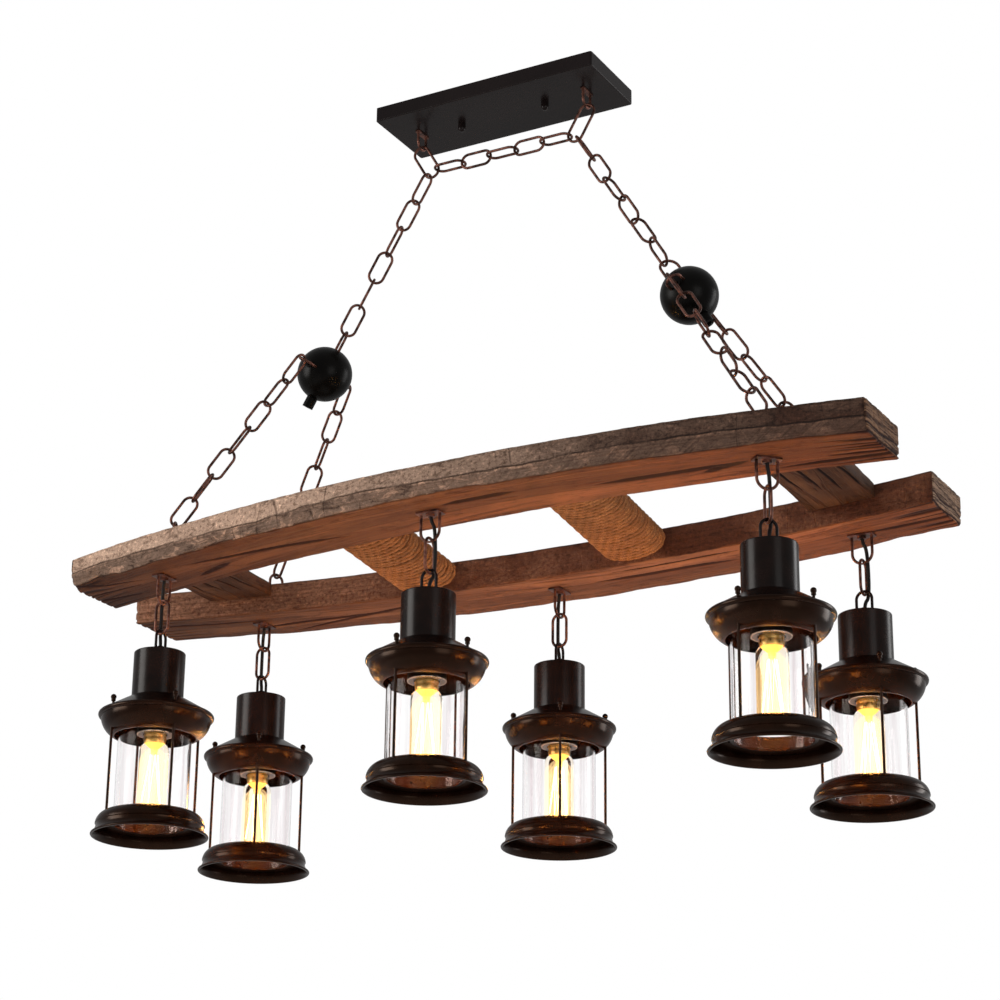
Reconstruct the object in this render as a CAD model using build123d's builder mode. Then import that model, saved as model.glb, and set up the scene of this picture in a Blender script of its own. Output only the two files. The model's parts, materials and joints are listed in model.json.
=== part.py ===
from build123d import *
import os
from math import cos, pi, radians, sin, sqrt, tan

# Pendant light: two bowed wooden beams on chains, with six lanterns under them.
# Millimetres. X runs along the beams, Y from front to rear, Z up.
# The origin is in the ceiling plane, over the middle of the light.

os.makedirs("parts", exist_ok=True)

# Ceiling fitting
canopy_width = 106.0
canopy_height = 18.0
canopy_wall = 1.2
canopy_corner = 2.5
canopy_end_margin = 33.0
bracket_width = 24.0
bracket_thickness = 2.0
bracket_end = 14.0
screw_spacing = 80.0
slot_length = 14.0
slot_width = 5.0
stud_spacing = 112.0
stud_diameter = 4.0
stud_hole_clearance = 0.5
stud_in_nut = 6.0
nut_diameter = 9.0
thread_clearance = 0.05
terminal_length = 36.0
terminal_width = 18.0
terminal_height = 11.0
terminal_ways = 3
terminal_screw_diameter = 5.0
terminal_screw_depth = 3.0

# Chain links and wire loops
wire = 3.2
link_inner_length = 35.8
link_inner_width = 14.4
link_gap = 0.3
ring_inner_length = 44.8
ring_inner_width = 15.6
ring_lean = 30.0
tie_links = 5
upper_links = 6
upper_lean = 31.0
upper_twist = 10.0
lower_links = 7
hook_reach = 21.0
hook_inner_width = 14.4
plate_thickness = 1.6
plate_margin = 1.5
plate_corner = 2.0

# Junction balls
ball_diameter = 65.2
ball_wall = 2.0
top_eye_reach = 23.5
top_eye_inner_width = 18.8
side_eye_reach = 16.0
side_eye_inner_width = 14.4
side_eye_rise = 2.0
eye_leg = 8.0
eyelet_diameter = 9.0
eyelet_bore = 4.5
eyelet_proud = 1.2
leg_clearance = 0.2
nub_diameter = 13.0
nub_length = 12.0
nub_bore = 6.0

# Wooden frame
beam_length = 1000.0
front_beam_shift = -4.0
rear_beam_shift = -16.0
beam_thickness = 37.0
beam_width_middle = 96.0
beam_width_end = 90.0
half_gap_left = 74.0
half_gap_middle = 147.0
half_gap_right = 108.0
beam_corner = 6.0
bevel_height = 17.0
bevel_depth = 4.0
beam_eye_x = 366.0
beam_eye_spread = 208.0
beam_eye_reach = 26.0
joint_gap = 0.2
rail_spacing = 760.0
rail_width = 80.0
rail_thickness = 17.0
rail_skew = 3.0
rail_edge = 2.0
rope_bar_spacing = 266.0
rope_bar_width = 66.0
rope_bar_thickness = 15.0
rope_bar_skew = 7.0
rope_diameter = 7.4
rope_turn_gap = 0.6
rope_seat_gap = 0.2
rope_end_room = 1.0
most_turns = 24

# Lantern places and how each one hangs
lantern_spacing = 379.0
staple_reach = 32.0
staple_inner_width = 19.6
loop_reach = 27.0
loop_inner_width = 14.4
hang_turns = {"left_front": 90.0, "middle_front": 0.0, "right_front": 45.0,
              "left_rear": 90.0, "middle_rear": 90.0, "right_rear": 0.0}
cage_turns = {"left_front": 59.0, "middle_front": 83.0, "right_front": 76.0,
              "left_rear": 34.0, "middle_rear": 29.0, "right_rear": 36.0}

# Lantern
lantern_sheet = 1.2
cap_diameter = 58.0
cap_height = 53.0
cap_edge = 2.5
crown_height = 21.0
dish_diameter = 129.0
dish_bead = 3.0
bowl_height = 24.0
bowl_bulge = 3.5
lip_diameter = 93.0
glass_show = 86.5
glass_diameter = 82.0
glass_wall = 2.0
glass_clearance = 0.5
glass_in_dish = 9.0
base_diameter = 130.0
base_height = 26.5
base_step_diameter = 121.0
base_step_height = 13.0
base_step = 0.8
base_bulge = 4.5
base_flare = 1.5
base_bead = 1.2
ledge_height = 12.0
ledge_width = 2.5
rod_count = 4
rod_diameter = 3.0
rod_circle = 104.0
rod_clearance = 0.25
rod_foot_diameter = 6.4
rod_foot_height = 3.0
ball_nut_diameter = 6.4
ball_nut_neck = 5.0
ball_nut_neck_height = 1.5
rod_in_nut = 4.0

# Lamp and its holder
holder_diameter = 38.0
holder_height = 41.0
holder_ring_diameter = 41.0
holder_ring_height = 7.0
socket_diameter = 27.6
socket_depth = 26.0
nipple_diameter = 10.0
nipple_bore = 6.0
nipple_clearance = 0.25
nipple_rise = 5.0
bulb_base_diameter = 26.4
bulb_seat_gap = 0.3
bulb_neck_diameter = 21.0
bulb_neck_length = 9.0
bulb_diameter = 33.0
bulb_shoulder = 9.0
bulb_length = 120.0
contact_diameter = 10.0
contact_height = 2.5

# Flex from the beam to the cap
cord_diameter = 4.0
cord_side_clearance = 0.8
cord_hole_clearance = 0.3
cord_in_beam = 10.0
cord_in_cap = 2.0
cord_straight = 4.4
cord_jog = 7.0
beam_bore_clearance = 1.0
bush_diameter = 10.0
bush_height = 3.0
grip_diameter = 13.0
grip_height = 9.0

# Sizes that follow from those above
hold = wire + link_gap
link_centres = link_inner_length + wire
link_radius = (link_inner_width + wire) / 2
link_pitch = link_centres - hold
ring_centres = ring_inner_length + wire
ring_radius = (ring_inner_width + wire) / 2
ring_straight = ring_centres - 2 * ring_radius
ball_radius = ball_diameter / 2
rope_pitch = rope_diameter + rope_turn_gap

# Ring links, hooks and canopy follow from the tie chain's length
ring_foot_x = (tie_links * link_pitch - hold) / 2 + ring_radius
hook_x = ring_foot_x + ring_straight * sin(radians(ring_lean))
canopy_length = 2 * (hook_x + canopy_end_margin)
hook_wire_z = -canopy_height - hook_reach
sway_axis_z = hook_wire_z + hold
ring_head_z = sway_axis_z - ring_radius
ring_foot_z = ring_head_z - ring_straight * cos(radians(ring_lean))

# Balls and beams hang where the chains' lengths put them
upper_direction = Vector(sin(radians(upper_lean)), 0, -cos(radians(upper_lean)))
upper_start = Vector(ring_foot_x, 0, ring_foot_z) + upper_direction * ring_radius
upper_reach = upper_links * link_pitch - hold
ball_centre = upper_start + upper_direction * (upper_reach + top_eye_reach + ball_radius)
side_direction = Vector(0, cos(radians(side_eye_rise)), sin(radians(side_eye_rise)))
lower_start = ball_centre + side_direction * (ball_radius + side_eye_reach)
lower_reach = lower_links * link_pitch - hold


def half_gap(x):
    """Distance from the light's middle plane to a beam's centre line at x."""
    along = x / beam_length
    chord = half_gap_left + (half_gap_right - half_gap_left) * (along + 0.5)
    bow = half_gap_middle - (half_gap_left + half_gap_right) / 2
    return chord + bow * (1 - 4 * along**2)


def half_width(x):
    """Half of a beam's width at x."""
    return (beam_width_middle + (beam_width_end - beam_width_middle) * (2 * x / beam_length) ** 2) / 2


beam_eye_y = beam_eye_spread / 2
eye_run_x = beam_eye_x - lower_start.X
eye_run_y = beam_eye_y - lower_start.Y
beam_eye_z = lower_start.Z - sqrt(lower_reach**2 - eye_run_x**2 - eye_run_y**2)
beam_top = beam_eye_z - beam_eye_reach
beam_under = beam_top - beam_thickness

# Heights along a lantern's hanging line
staple_wire_z = beam_under - staple_reach
link_middle_z = staple_wire_z + hold - link_centres / 2
link_foot_z = link_middle_z - link_centres / 2
cap_top = link_foot_z + hold - loop_reach
cap_seat = cap_top - cap_height
dish_rim_z = cap_seat - crown_height
dish_lip_z = dish_rim_z - bowl_height
base_top = dish_lip_z - glass_show
base_rim = base_top - base_height

lantern_rows = {"front": -1, "rear": 1}
lantern_columns = {"left": -lantern_spacing, "middle": 0.0, "right": lantern_spacing}
lantern_places = {
    f"{column}_{row}": Vector(x, side * half_gap(x), 0)
    for row, side in lantern_rows.items()
    for column, x in lantern_columns.items()
}


def save(builder, name):
    """Label a finished piece and write it to its own file."""
    builder.part.label = name
    export_step(builder.part, f"parts/{name}.step")


def save_copy(builder, name, place):
    """Write a copy of a piece at another place."""
    with BuildPart() as copy:
        with Locations(place):
            add(builder.part)
    save(copy, name)


def wire_loop(reach, inner_width, wire_diameter=wire):
    """U of wire below the local XY plane, its legs ending there, its lowest wire at -reach."""
    radius = (inner_width + wire) / 2
    with BuildPart() as loop:
        with BuildLine() as path:
            Line((-radius, 0, 0), (-radius, 0, radius - reach))
            ThreePointArc((-radius, 0, radius - reach), (0, 0, -reach), (radius, 0, radius - reach))
            Line((radius, 0, radius - reach), (radius, 0, 0))
        with BuildSketch(Plane.XY.offset(0)):
            with Locations((-radius, 0)):
                Circle(wire_diameter / 2)
        sweep(path=path.line)
    return loop


def chain_link(centres, radius):
    """Closed oval link in the local XY plane, long along X."""
    straight = centres / 2 - radius
    with BuildPart() as link:
        with BuildLine() as path:
            Line((0, -radius), (straight, -radius))
            ThreePointArc((straight, -radius), (straight + radius, 0), (straight, radius))
            Line((straight, radius), (0, radius))
        with BuildSketch(Plane.YZ):
            with Locations((-radius, 0)):
                Circle(wire / 2)
        sweep(path=path.line)
        mirror(about=Plane.YZ)
    return link


def link_normal(direction, first_normal, index, twist):
    """Normal of a link's plane: a quarter turn and a little twist more for each link before it."""
    return first_normal.rotate(Axis((0, 0, 0), direction), index * (90 + twist))


def chain_places(start, direction, first_normal, count, twist=0.0):
    """Planes of a taut chain's links, one after the other from a wire at start."""
    for index in range(count):
        middle = start + direction * (link_centres / 2 - hold + index * link_pitch)
        yield Plane(middle, x_dir=direction, z_dir=link_normal(direction, first_normal, index, twist))


def mirrored_x(vector):
    """The same point or direction on the light's other end."""
    return Vector(-vector.X, vector.Y, vector.Z)


def mirrored_y(vector):
    """The same point or direction on the light's other long side."""
    return Vector(vector.X, -vector.Y, vector.Z)


def both_sides(origin, x_dir, z_dir):
    """The plane given, and its mirror image on the light's other long side."""
    yield Plane(origin, x_dir=x_dir, z_dir=z_dir)
    yield Plane(mirrored_y(origin), x_dir=mirrored_y(x_dir), z_dir=mirrored_y(z_dir))


# Ceiling bracket: strap with slots for the ceiling screws and studs for the cover
with BuildPart() as ceiling_bracket:
    with BuildSketch(Plane.XY.offset(-bracket_thickness)):
        RectangleRounded(stud_spacing + 2 * bracket_end, bracket_width, canopy_corner)
        with GridLocations(screw_spacing, 0, 2, 1):
            SlotOverall(slot_length, slot_width, mode=Mode.SUBTRACT)
    extrude(amount=bracket_thickness)
    with BuildSketch(Plane.XY.offset(-bracket_thickness)):
        with GridLocations(stud_spacing, 0, 2, 1):
            Circle(stud_diameter / 2)
    extrude(amount=-(canopy_height - bracket_thickness + stud_in_nut))
save(ceiling_bracket, "ceiling_bracket")

# Canopy cover: shallow box, open towards the ceiling
with BuildPart() as canopy_cover:
    with BuildSketch(Plane.XY.offset(-canopy_height)):
        RectangleRounded(canopy_length, canopy_width, canopy_corner)
    extrude(amount=canopy_height)
    fillet(canopy_cover.faces().sort_by(Axis.Z)[0].edges(), canopy_wall)
    with BuildSketch(Plane.XY.offset(canopy_wall - canopy_height)):
        RectangleRounded(
            canopy_length - 2 * canopy_wall, canopy_width - 2 * canopy_wall, canopy_corner - canopy_wall
        )
    extrude(amount=canopy_height, mode=Mode.SUBTRACT)
    with Locations(Plane.XY.offset(-canopy_height)):
        with GridLocations(stud_spacing, 0, 2, 1):
            Cylinder(stud_diameter / 2 + stud_hole_clearance, 4 * canopy_wall, mode=Mode.SUBTRACT)
save(canopy_cover, "canopy_cover")

# Cap nuts on the studs
with BuildPart() as canopy_cap_nuts:
    with GridLocations(stud_spacing, 0, 2, 1):
        with Locations((0, 0, -canopy_height)):
            Cylinder(nut_diameter / 2, stud_in_nut, align=(Align.CENTER, Align.CENTER, Align.MAX))
        with Locations((0, 0, -canopy_height - stud_in_nut)):
            Sphere(nut_diameter / 2)
        with Locations((0, 0, -canopy_height)):
            Cylinder(
                stud_diameter / 2 + thread_clearance,
                stud_in_nut + thread_clearance,
                align=(Align.CENTER, Align.CENTER, Align.MAX),
                mode=Mode.SUBTRACT,
            )
save(canopy_cap_nuts, "canopy_cap_nuts")

# Terminal block under the bracket
with BuildPart() as terminal_block:
    with Locations((0, 0, -bracket_thickness)):
        Box(terminal_length, terminal_width, terminal_height, align=(Align.CENTER, Align.CENTER, Align.MAX))
    with Locations(Plane(origin=(0, 0, -bracket_thickness - terminal_height), z_dir=(0, 0, -1))):
        with GridLocations(terminal_length / terminal_ways, terminal_width / 2, terminal_ways, 2):
            Hole(terminal_screw_diameter / 2, terminal_screw_depth)
save(terminal_block, "terminal_block")


def plate(inner_width, bore=0.0):
    """Rounded plate under the local XY plane that carries a wire loop's legs."""
    length = inner_width + 2 * wire + 2 * plate_margin
    width = wire + 2 * plate_margin + bore
    with BuildPart() as seat:
        with BuildSketch(Plane.XY.offset(-plate_thickness)):
            RectangleRounded(length, width, plate_corner)
        extrude(amount=plate_thickness)
    return seat


# Hooks under the canopy, and eyes on top of the beams
hook_loop = wire_loop(hook_reach, hook_inner_width)
hook_plate = plate(hook_inner_width)
with BuildPart() as hook:
    add(hook_loop.part)
    add(hook_plate.part)
with BuildPart() as canopy_hooks:
    for side in (-1, 1):
        with Locations(Plane(origin=(side * hook_x, 0, -canopy_height), x_dir=(0, 1, 0))):
            add(hook.part)
save(canopy_hooks, "canopy_hooks")

eye_loop = wire_loop(beam_eye_reach, hook_inner_width)
with BuildPart() as beam_eye:
    add(eye_loop.part)
    add(hook_plate.part)

# Tie chain: the two leaning ring links and the links that pull them together
link = chain_link(link_centres, link_radius)
ring = chain_link(ring_centres, ring_radius)
ring_down = Vector(-sin(radians(ring_lean)), 0, -cos(radians(ring_lean)))
ring_middle = Vector(ring_foot_x, 0, ring_foot_z) - ring_down * (ring_straight / 2)
tie_start = Vector(ring_radius - ring_foot_x, 0, ring_foot_z)
with BuildPart() as tie_chain:
    for middle, down in ((ring_middle, ring_down), (mirrored_x(ring_middle), mirrored_x(ring_down))):
        with Locations(Plane(origin=middle, x_dir=down, z_dir=(0, 1, 0))):
            add(ring.part)
    with Locations(*chain_places(tie_start, Vector(1, 0, 0), Vector(0, 0, 1), tie_links)):
        add(link.part)
save(tie_chain, "tie_chain")

# Upper chains, from the ring links to the balls
upper_normal = upper_direction.cross(Vector(0, 1, 0))
with BuildPart() as upper_chains:
    with Locations(*chain_places(upper_start, upper_direction, upper_normal, upper_links, upper_twist)):
        add(link.part)
    mirror(about=Plane.YZ)
save(upper_chains, "upper_chains")

# Lower chains, from each ball to both beams, twisted so that both ends lie square to their eyes
beam_eye_place = Vector(beam_eye_x, beam_eye_y, beam_eye_z)
lower_direction = (beam_eye_place - lower_start).normalized()
side_across = side_direction.cross(lower_direction).normalized()
beam_across = Vector(-lower_direction.Y, lower_direction.X, 0).normalized()
whole_turn = side_across.get_signed_angle(beam_across, lower_direction)
quarter_turns = 90 * (lower_links - 1)
twist_needed = (whole_turn - quarter_turns + 90) % 180 - 90
lower_twist = twist_needed / (lower_links - 1)
with BuildPart() as lower_chains:
    with Locations(*chain_places(lower_start, lower_direction, side_across, lower_links, lower_twist)):
        add(link.part)
    mirror(about=Plane.XZ)
    mirror(about=Plane.YZ)
save(lower_chains, "lower_chains")

with BuildPart() as beam_eyes:
    with Locations(Plane((beam_eye_x, beam_eye_y, beam_top), x_dir=beam_across, z_dir=(0, 0, -1))):
        add(beam_eye.part)
    mirror(about=Plane.XZ)
    mirror(about=Plane.YZ)
save(beam_eyes, "beam_eyes")

# Ball eyes: wire loops whose legs stand in holes in the balls
hole_wire = wire + 2 * leg_clearance
top_eye = wire_loop(top_eye_reach + eye_leg, top_eye_inner_width)
top_eye_hole = wire_loop(top_eye_reach + eye_leg, top_eye_inner_width, hole_wire)
side_eye = wire_loop(side_eye_reach + eye_leg, side_eye_inner_width)
side_eye_hole = wire_loop(side_eye_reach + eye_leg, side_eye_inner_width, hole_wire)
eye_root = ball_radius - eye_leg
top_across = link_normal(upper_direction, upper_normal, upper_links - 1, upper_twist)
top_eye_plane = Plane(ball_centre - upper_direction * eye_root, x_dir=top_across, z_dir=upper_direction)
side_eye_root = ball_centre + side_direction * eye_root
side_eye_planes = list(both_sides(side_eye_root, side_across, -side_direction))
with BuildPart() as ball_eyes:
    with Locations(*side_eye_planes):
        add(side_eye.part)
    with Locations(top_eye_plane):
        add(top_eye.part)
    mirror(about=Plane.YZ)
save(ball_eyes, "ball_eyes")

# Junction balls, each with a nub on the line of its upper chain and an eyelet between a side eye's legs
insert_root = ball_radius - 2 * ball_wall
nub_plane = Plane(ball_centre + upper_direction * insert_root, z_dir=upper_direction)
eyelet_root = ball_centre + side_direction * insert_root
eyelet_planes = list(both_sides(eyelet_root, side_across, side_direction))


def insert_hole(diameter):
    """Clearance hole through a ball's wall, from the local XY plane up."""
    Cylinder(
        diameter / 2 + leg_clearance,
        ball_radius,
        align=(Align.CENTER, Align.CENTER, Align.MIN),
        mode=Mode.SUBTRACT,
    )


with BuildPart() as junction_balls:
    with Locations(ball_centre):
        Sphere(ball_radius)
        Sphere(ball_radius - ball_wall, mode=Mode.SUBTRACT)
    with Locations(*side_eye_planes):
        add(side_eye_hole.part, mode=Mode.SUBTRACT)
    with Locations(top_eye_plane):
        add(top_eye_hole.part, mode=Mode.SUBTRACT)
    with Locations(*eyelet_planes):
        insert_hole(eyelet_diameter)
    with Locations(nub_plane):
        insert_hole(nub_diameter)
    with BuildSketch(nub_plane):
        Circle(nub_diameter / 2)
        Circle(nub_bore / 2, mode=Mode.SUBTRACT)
    extrude(amount=nub_length + 2 * ball_wall)
    for eyelet_plane in eyelet_planes:
        with BuildSketch(eyelet_plane):
            Circle(eyelet_diameter / 2)
            Circle(eyelet_bore / 2, mode=Mode.SUBTRACT)
        extrude(amount=eyelet_proud + 2 * ball_wall)
    mirror(about=Plane.YZ)
save(junction_balls, "junction_balls")


def beam_edge(side, outward, clearance=0.0):
    """Arc along a beam's inner or outer edge, from its left end to its right end."""
    middle = rear_beam_shift if side > 0 else front_beam_shift
    stations = (middle - beam_length / 2, middle, middle + beam_length / 2)
    return ThreePointArc(
        *((x, side * (half_gap(x) + outward * half_width(x) + clearance)) for x in stations)
    )


def beam(side):
    """Bowed plank with rounded ends, a bevel along its lower outer edge and bores for the flexes."""
    with BuildPart() as plank:
        with BuildSketch(Plane.XY.offset(beam_under)):
            with BuildLine():
                outer = beam_edge(side, 1)
                inner = beam_edge(side, -1)
                Line(outer @ 0, inner @ 0)
                Line(outer @ 1, inner @ 1)
            make_face()
        extrude(amount=beam_thickness)
        fillet(plank.edges().filter_by(Axis.Z), beam_corner)
        underside = plank.faces().sort_by(Axis.Z)[0]
        curved_sides = plank.faces().filter_by(GeomType.CYLINDER).sort_by(Axis.Y)
        outer_side = curved_sides[-1 if side > 0 else 0]
        bevel_edges = [edge for edge in underside.edges() if edge in outer_side.edges()]
        chamfer(bevel_edges, bevel_height, bevel_depth, reference=outer_side)
        for spot in lantern_places.values():
            if spot.Y * side > 0:
                with Locations((spot.X, spot.Y, beam_under)):
                    Cylinder(
                        cord_diameter / 2 + beam_bore_clearance, 2 * beam_thickness + wire, mode=Mode.SUBTRACT
                    )
    return plank


front_beam = beam(-1)
save(front_beam, "front_beam")
rear_beam = beam(1)
save(rear_beam, "rear_beam")


def between_beams():
    """Sketch of the space between the beams' inner edges."""
    with BuildSketch(Plane.XY.offset(beam_under)) as space:
        with BuildLine():
            front = beam_edge(-1, -1, -joint_gap)
            rear = beam_edge(1, -1, -joint_gap)
            Line(front @ 0, rear @ 0)
            Line(front @ 1, rear @ 1)
        make_face()
    return space


# Cross rails: boards between the beams, flush with their tops
space = between_beams()
rope_stand_off = rope_diameter + rope_seat_gap
rope_bar_z = beam_top - rope_stand_off - rope_bar_thickness / 2


def bar_plane(x, z, skew):
    """Plane across a bar between the beams: its X across the bar, its Z along it."""
    turn = radians(skew)
    return Plane((x, 0, z), x_dir=(cos(turn), sin(turn), 0), z_dir=(sin(turn), -cos(turn), 0))


with BuildPart() as cross_rails:
    for side in (-1, 1):
        rail_plane = bar_plane(side * rail_spacing / 2, beam_top - rail_thickness / 2, rail_skew)
        with BuildSketch(rail_plane) as section:
            Rectangle(rail_width, rail_thickness)
            chamfer(section.vertices(), rail_edge)
        extrude(amount=beam_length / 2, both=True)
    extrude(space.sketch, amount=beam_thickness, mode=Mode.INTERSECT)
save(cross_rails, "cross_rails")

# Rope bars: flat rails with round edges, one rope thickness below the beams' tops
with BuildPart() as rope_bars:
    for side in (-1, 1):
        with BuildSketch(bar_plane(side * rope_bar_spacing / 2, rope_bar_z, rope_bar_skew)):
            SlotOverall(rope_bar_width, rope_bar_thickness)
        extrude(amount=beam_length / 2, both=True)
    extrude(space.sketch, amount=beam_thickness, mode=Mode.INTERSECT)
save(rope_bars, "rope_bars")

# Rope windings: half turns round the bar's edges, straight runs across its faces
turn_radius = rope_bar_thickness / 2 + rope_seat_gap + rope_diameter / 2
run_half = (rope_bar_width - rope_bar_thickness) / 2
rope_half_width = rope_bar_width / 2 + rope_stand_off


def turns_that_fit(x):
    """Turns of rope that fit on the bar at x, between the beams."""
    skew = radians(rope_bar_skew)
    reach = abs(x) + rope_half_width
    narrowest = min(half_gap(side * reach) - half_width(reach) for side in (-1, 1) if side * x > 0)
    half_length = (narrowest - rope_half_width * sin(skew)) / cos(skew) - rope_end_room
    return min(most_turns, int((2 * half_length - rope_diameter) / rope_pitch))


def winding(turns):
    """One rope wound about the local Y axis, with its ends in the middle of the lower face."""
    quarter_arc = sqrt(turn_radius**2 + (rope_pitch / 4) ** 2)
    with BuildPart() as rope:
        with BuildLine() as path:
            y = -turns * rope_pitch / 2
            spot = Vector(0, y, -turn_radius)
            for half_turn in range(2 * turns):
                way = 1 if half_turn % 2 == 0 else -1
                level = -way * turn_radius
                corner = Vector(way * run_half, y, level)
                Line(spot, corner)
                y += rope_pitch / 2
                spot = Vector(way * run_half, y, -level)
                ThreePointArc(corner, Vector(way * (run_half + quarter_arc), y - rope_pitch / 4, 0), spot)
            Line(spot, Vector(0, y, -turn_radius))
        with BuildSketch(Plane(path.line @ 0, z_dir=path.line % 0)):
            Circle(rope_diameter / 2)
        sweep(path=path.wires()[0])
    return rope, path.wires()[0]


def least_self_gap(line, turns):
    """Least gap between a winding's turns, measured on points along its middle line."""
    points_per_turn = 32
    count = turns * points_per_turn
    points = [line.position_at(index / count) for index in range(count + 1)]
    least = beam_length
    for index, point in enumerate(points):
        for other in points[index + points_per_turn // 2 : index + 2 * points_per_turn]:
            least = min(least, (point - other).length)
    return least - rope_diameter


with BuildPart() as rope_windings:
    for side in (-1, 1):
        bar_x = side * rope_bar_spacing / 2
        turns = turns_that_fit(bar_x)
        rope, rope_line = winding(turns)
        expected = pi * rope_diameter**2 / 4 * rope_line.length
        gap = least_self_gap(rope_line, turns)
        print(f"rope: {turns} turns, length {rope_line.length:.0f}, least gap {gap:.2f}, "
              f"volume {rope.part.volume / expected:.4f} of section times length")
        with Locations(Location((bar_x, 0, rope_bar_z), (0, 0, rope_bar_skew))):
            add(rope.part)
save(rope_windings, "rope_windings")


# Lantern staples on the beams' undersides, each with a bush for the flex
staple_loop = wire_loop(staple_reach, staple_inner_width)
staple_plate = plate(staple_inner_width, bush_diameter)
with BuildPart() as staple:
    add(staple_loop.part)
    add(staple_plate.part)
    Cylinder(
        bush_diameter / 2, plate_thickness + bush_height, align=(Align.CENTER, Align.CENTER, Align.MAX)
    )
    Cylinder(cord_diameter / 2 + cord_hole_clearance, 2 * staple_reach, mode=Mode.SUBTRACT)


def hang_direction(name, quarter=0):
    """Direction of a lantern's staple wire, or a quarter turn from it."""
    turn = radians(hang_turns[name] + 90 * quarter)
    return Vector(cos(turn), sin(turn), 0)


with BuildPart() as lantern_staples:
    for name, spot in lantern_places.items():
        with Locations(Plane(spot + Vector(0, 0, beam_under), x_dir=hang_direction(name))):
            add(staple.part)
save(lantern_staples, "lantern_staples")

# Flexes: down through the bush, aside past the link's wires, and back into the cap's grip
cord_side = wire / 2 + cord_diameter / 2 + cord_side_clearance
hang_drop = beam_under - cap_top
first_bend = plate_thickness + bush_height + cord_straight
last_bend = hang_drop - grip_height - cord_straight
cord_points = [
    Vector(0, 0, cord_in_beam),
    Vector(0, 0, -first_bend),
    Vector(cord_side, cord_side, -first_bend - cord_jog),
    Vector(cord_side, cord_side, cord_jog - last_bend),
    Vector(0, 0, -last_bend),
    Vector(0, 0, -cord_in_cap - hang_drop),
]


def corner_radius(before, corner, after):
    """Largest easy bend at a corner of a cord's route."""
    shorter = min((corner - before).length, (after - corner).length)
    turn = radians((corner - before).get_angle(after - corner))
    return 0.45 * shorter / tan(turn / 2)


cord_radii = [corner_radius(*cord_points[index : index + 3]) for index in range(len(cord_points) - 2)]
print("flex bend radii:", [round(radius, 1) for radius in cord_radii])
with BuildPart() as flex:
    with BuildLine() as route:
        FilletPolyline(*cord_points, radius=cord_radii)
    with BuildSketch(Plane.XY.offset(cord_in_beam)):
        Circle(cord_diameter / 2)
    sweep(path=route.wires()[0])
flex_expected = pi * cord_diameter**2 / 4 * route.wires()[0].length
flex_length = route.wires()[0].length
print(f"flex: length {flex_length:.1f}, volume {flex.part.volume / flex_expected:.4f} of expected")
with BuildPart() as lantern_cords:
    for name, spot in lantern_places.items():
        with Locations(Plane(spot + Vector(0, 0, beam_under), x_dir=hang_direction(name))):
            add(flex.part)
save(lantern_cords, "lantern_cords")

# Lantern pieces, built on the axis of the light and copied to the six places
cap_radius = cap_diameter / 2
dish_radius = dish_diameter / 2
lip_radius = lip_diameter / 2
hub_radius = nipple_diameter / 2 + nipple_clearance
bead_radius = dish_radius - dish_bead
crown_foot = cap_radius + lantern_sheet


def bulging_arc(start, end, bulge):
    """Arc from start to end that stands out from the chord by bulge, away from the axis."""
    chord = Vector(*end) - Vector(*start)
    outward = Vector(chord.Y, -chord.X).normalized()
    if outward.X < 0:
        outward = -outward
    middle = (Vector(*start) + Vector(*end)) * 0.5 + outward * bulge
    return ThreePointArc(start, middle, end)


# Cap: tube closed at the top, with its loop and the grip that clamps it
cap_loop = wire_loop(loop_reach, loop_inner_width)
with BuildPart() as cap:
    with BuildSketch(Plane.XZ):
        with BuildLine():
            Polyline(
                (hub_radius, cap_top),
                (cap_radius, cap_top),
                (cap_radius, cap_seat),
                (cap_radius - lantern_sheet, cap_seat),
                (cap_radius - lantern_sheet, cap_top - lantern_sheet),
                (hub_radius, cap_top - lantern_sheet),
                close=True,
            )
        make_face()
    revolve(axis=Axis.Z)
    top_circles = cap.edges().filter_by(GeomType.CIRCLE).group_by(Axis.Z)[-1]
    fillet(top_circles.sort_by(SortBy.RADIUS)[-1], cap_edge / 2)
    with BuildSketch(Plane.XZ):
        with BuildLine():
            grip_radius = grip_diameter / 2
            grip_hole = cord_diameter / 2 + cord_hole_clearance
            nipple_hole = nipple_diameter / 2 + thread_clearance
            grip_neck = cap_top + nipple_rise + thread_clearance
            Polyline(
                (grip_hole, cap_top + grip_height),
                (grip_hole, grip_neck),
                (nipple_hole, grip_neck),
                (nipple_hole, cap_top + thread_clearance),
                (grip_radius, cap_top + thread_clearance),
                (grip_radius, cap_top + nipple_rise),
            )
            bulging_arc(
                (grip_radius, cap_top + nipple_rise),
                (grip_hole, cap_top + grip_height),
                lantern_sheet / 2,
            )
        make_face()
    revolve(axis=Axis.Z)
with BuildPart() as cap_bow:
    with Locations(Plane((0, 0, cap_top), x_dir=(1, 0, 0), z_dir=(0, 0, -1))):
        add(cap_loop.part)

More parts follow.
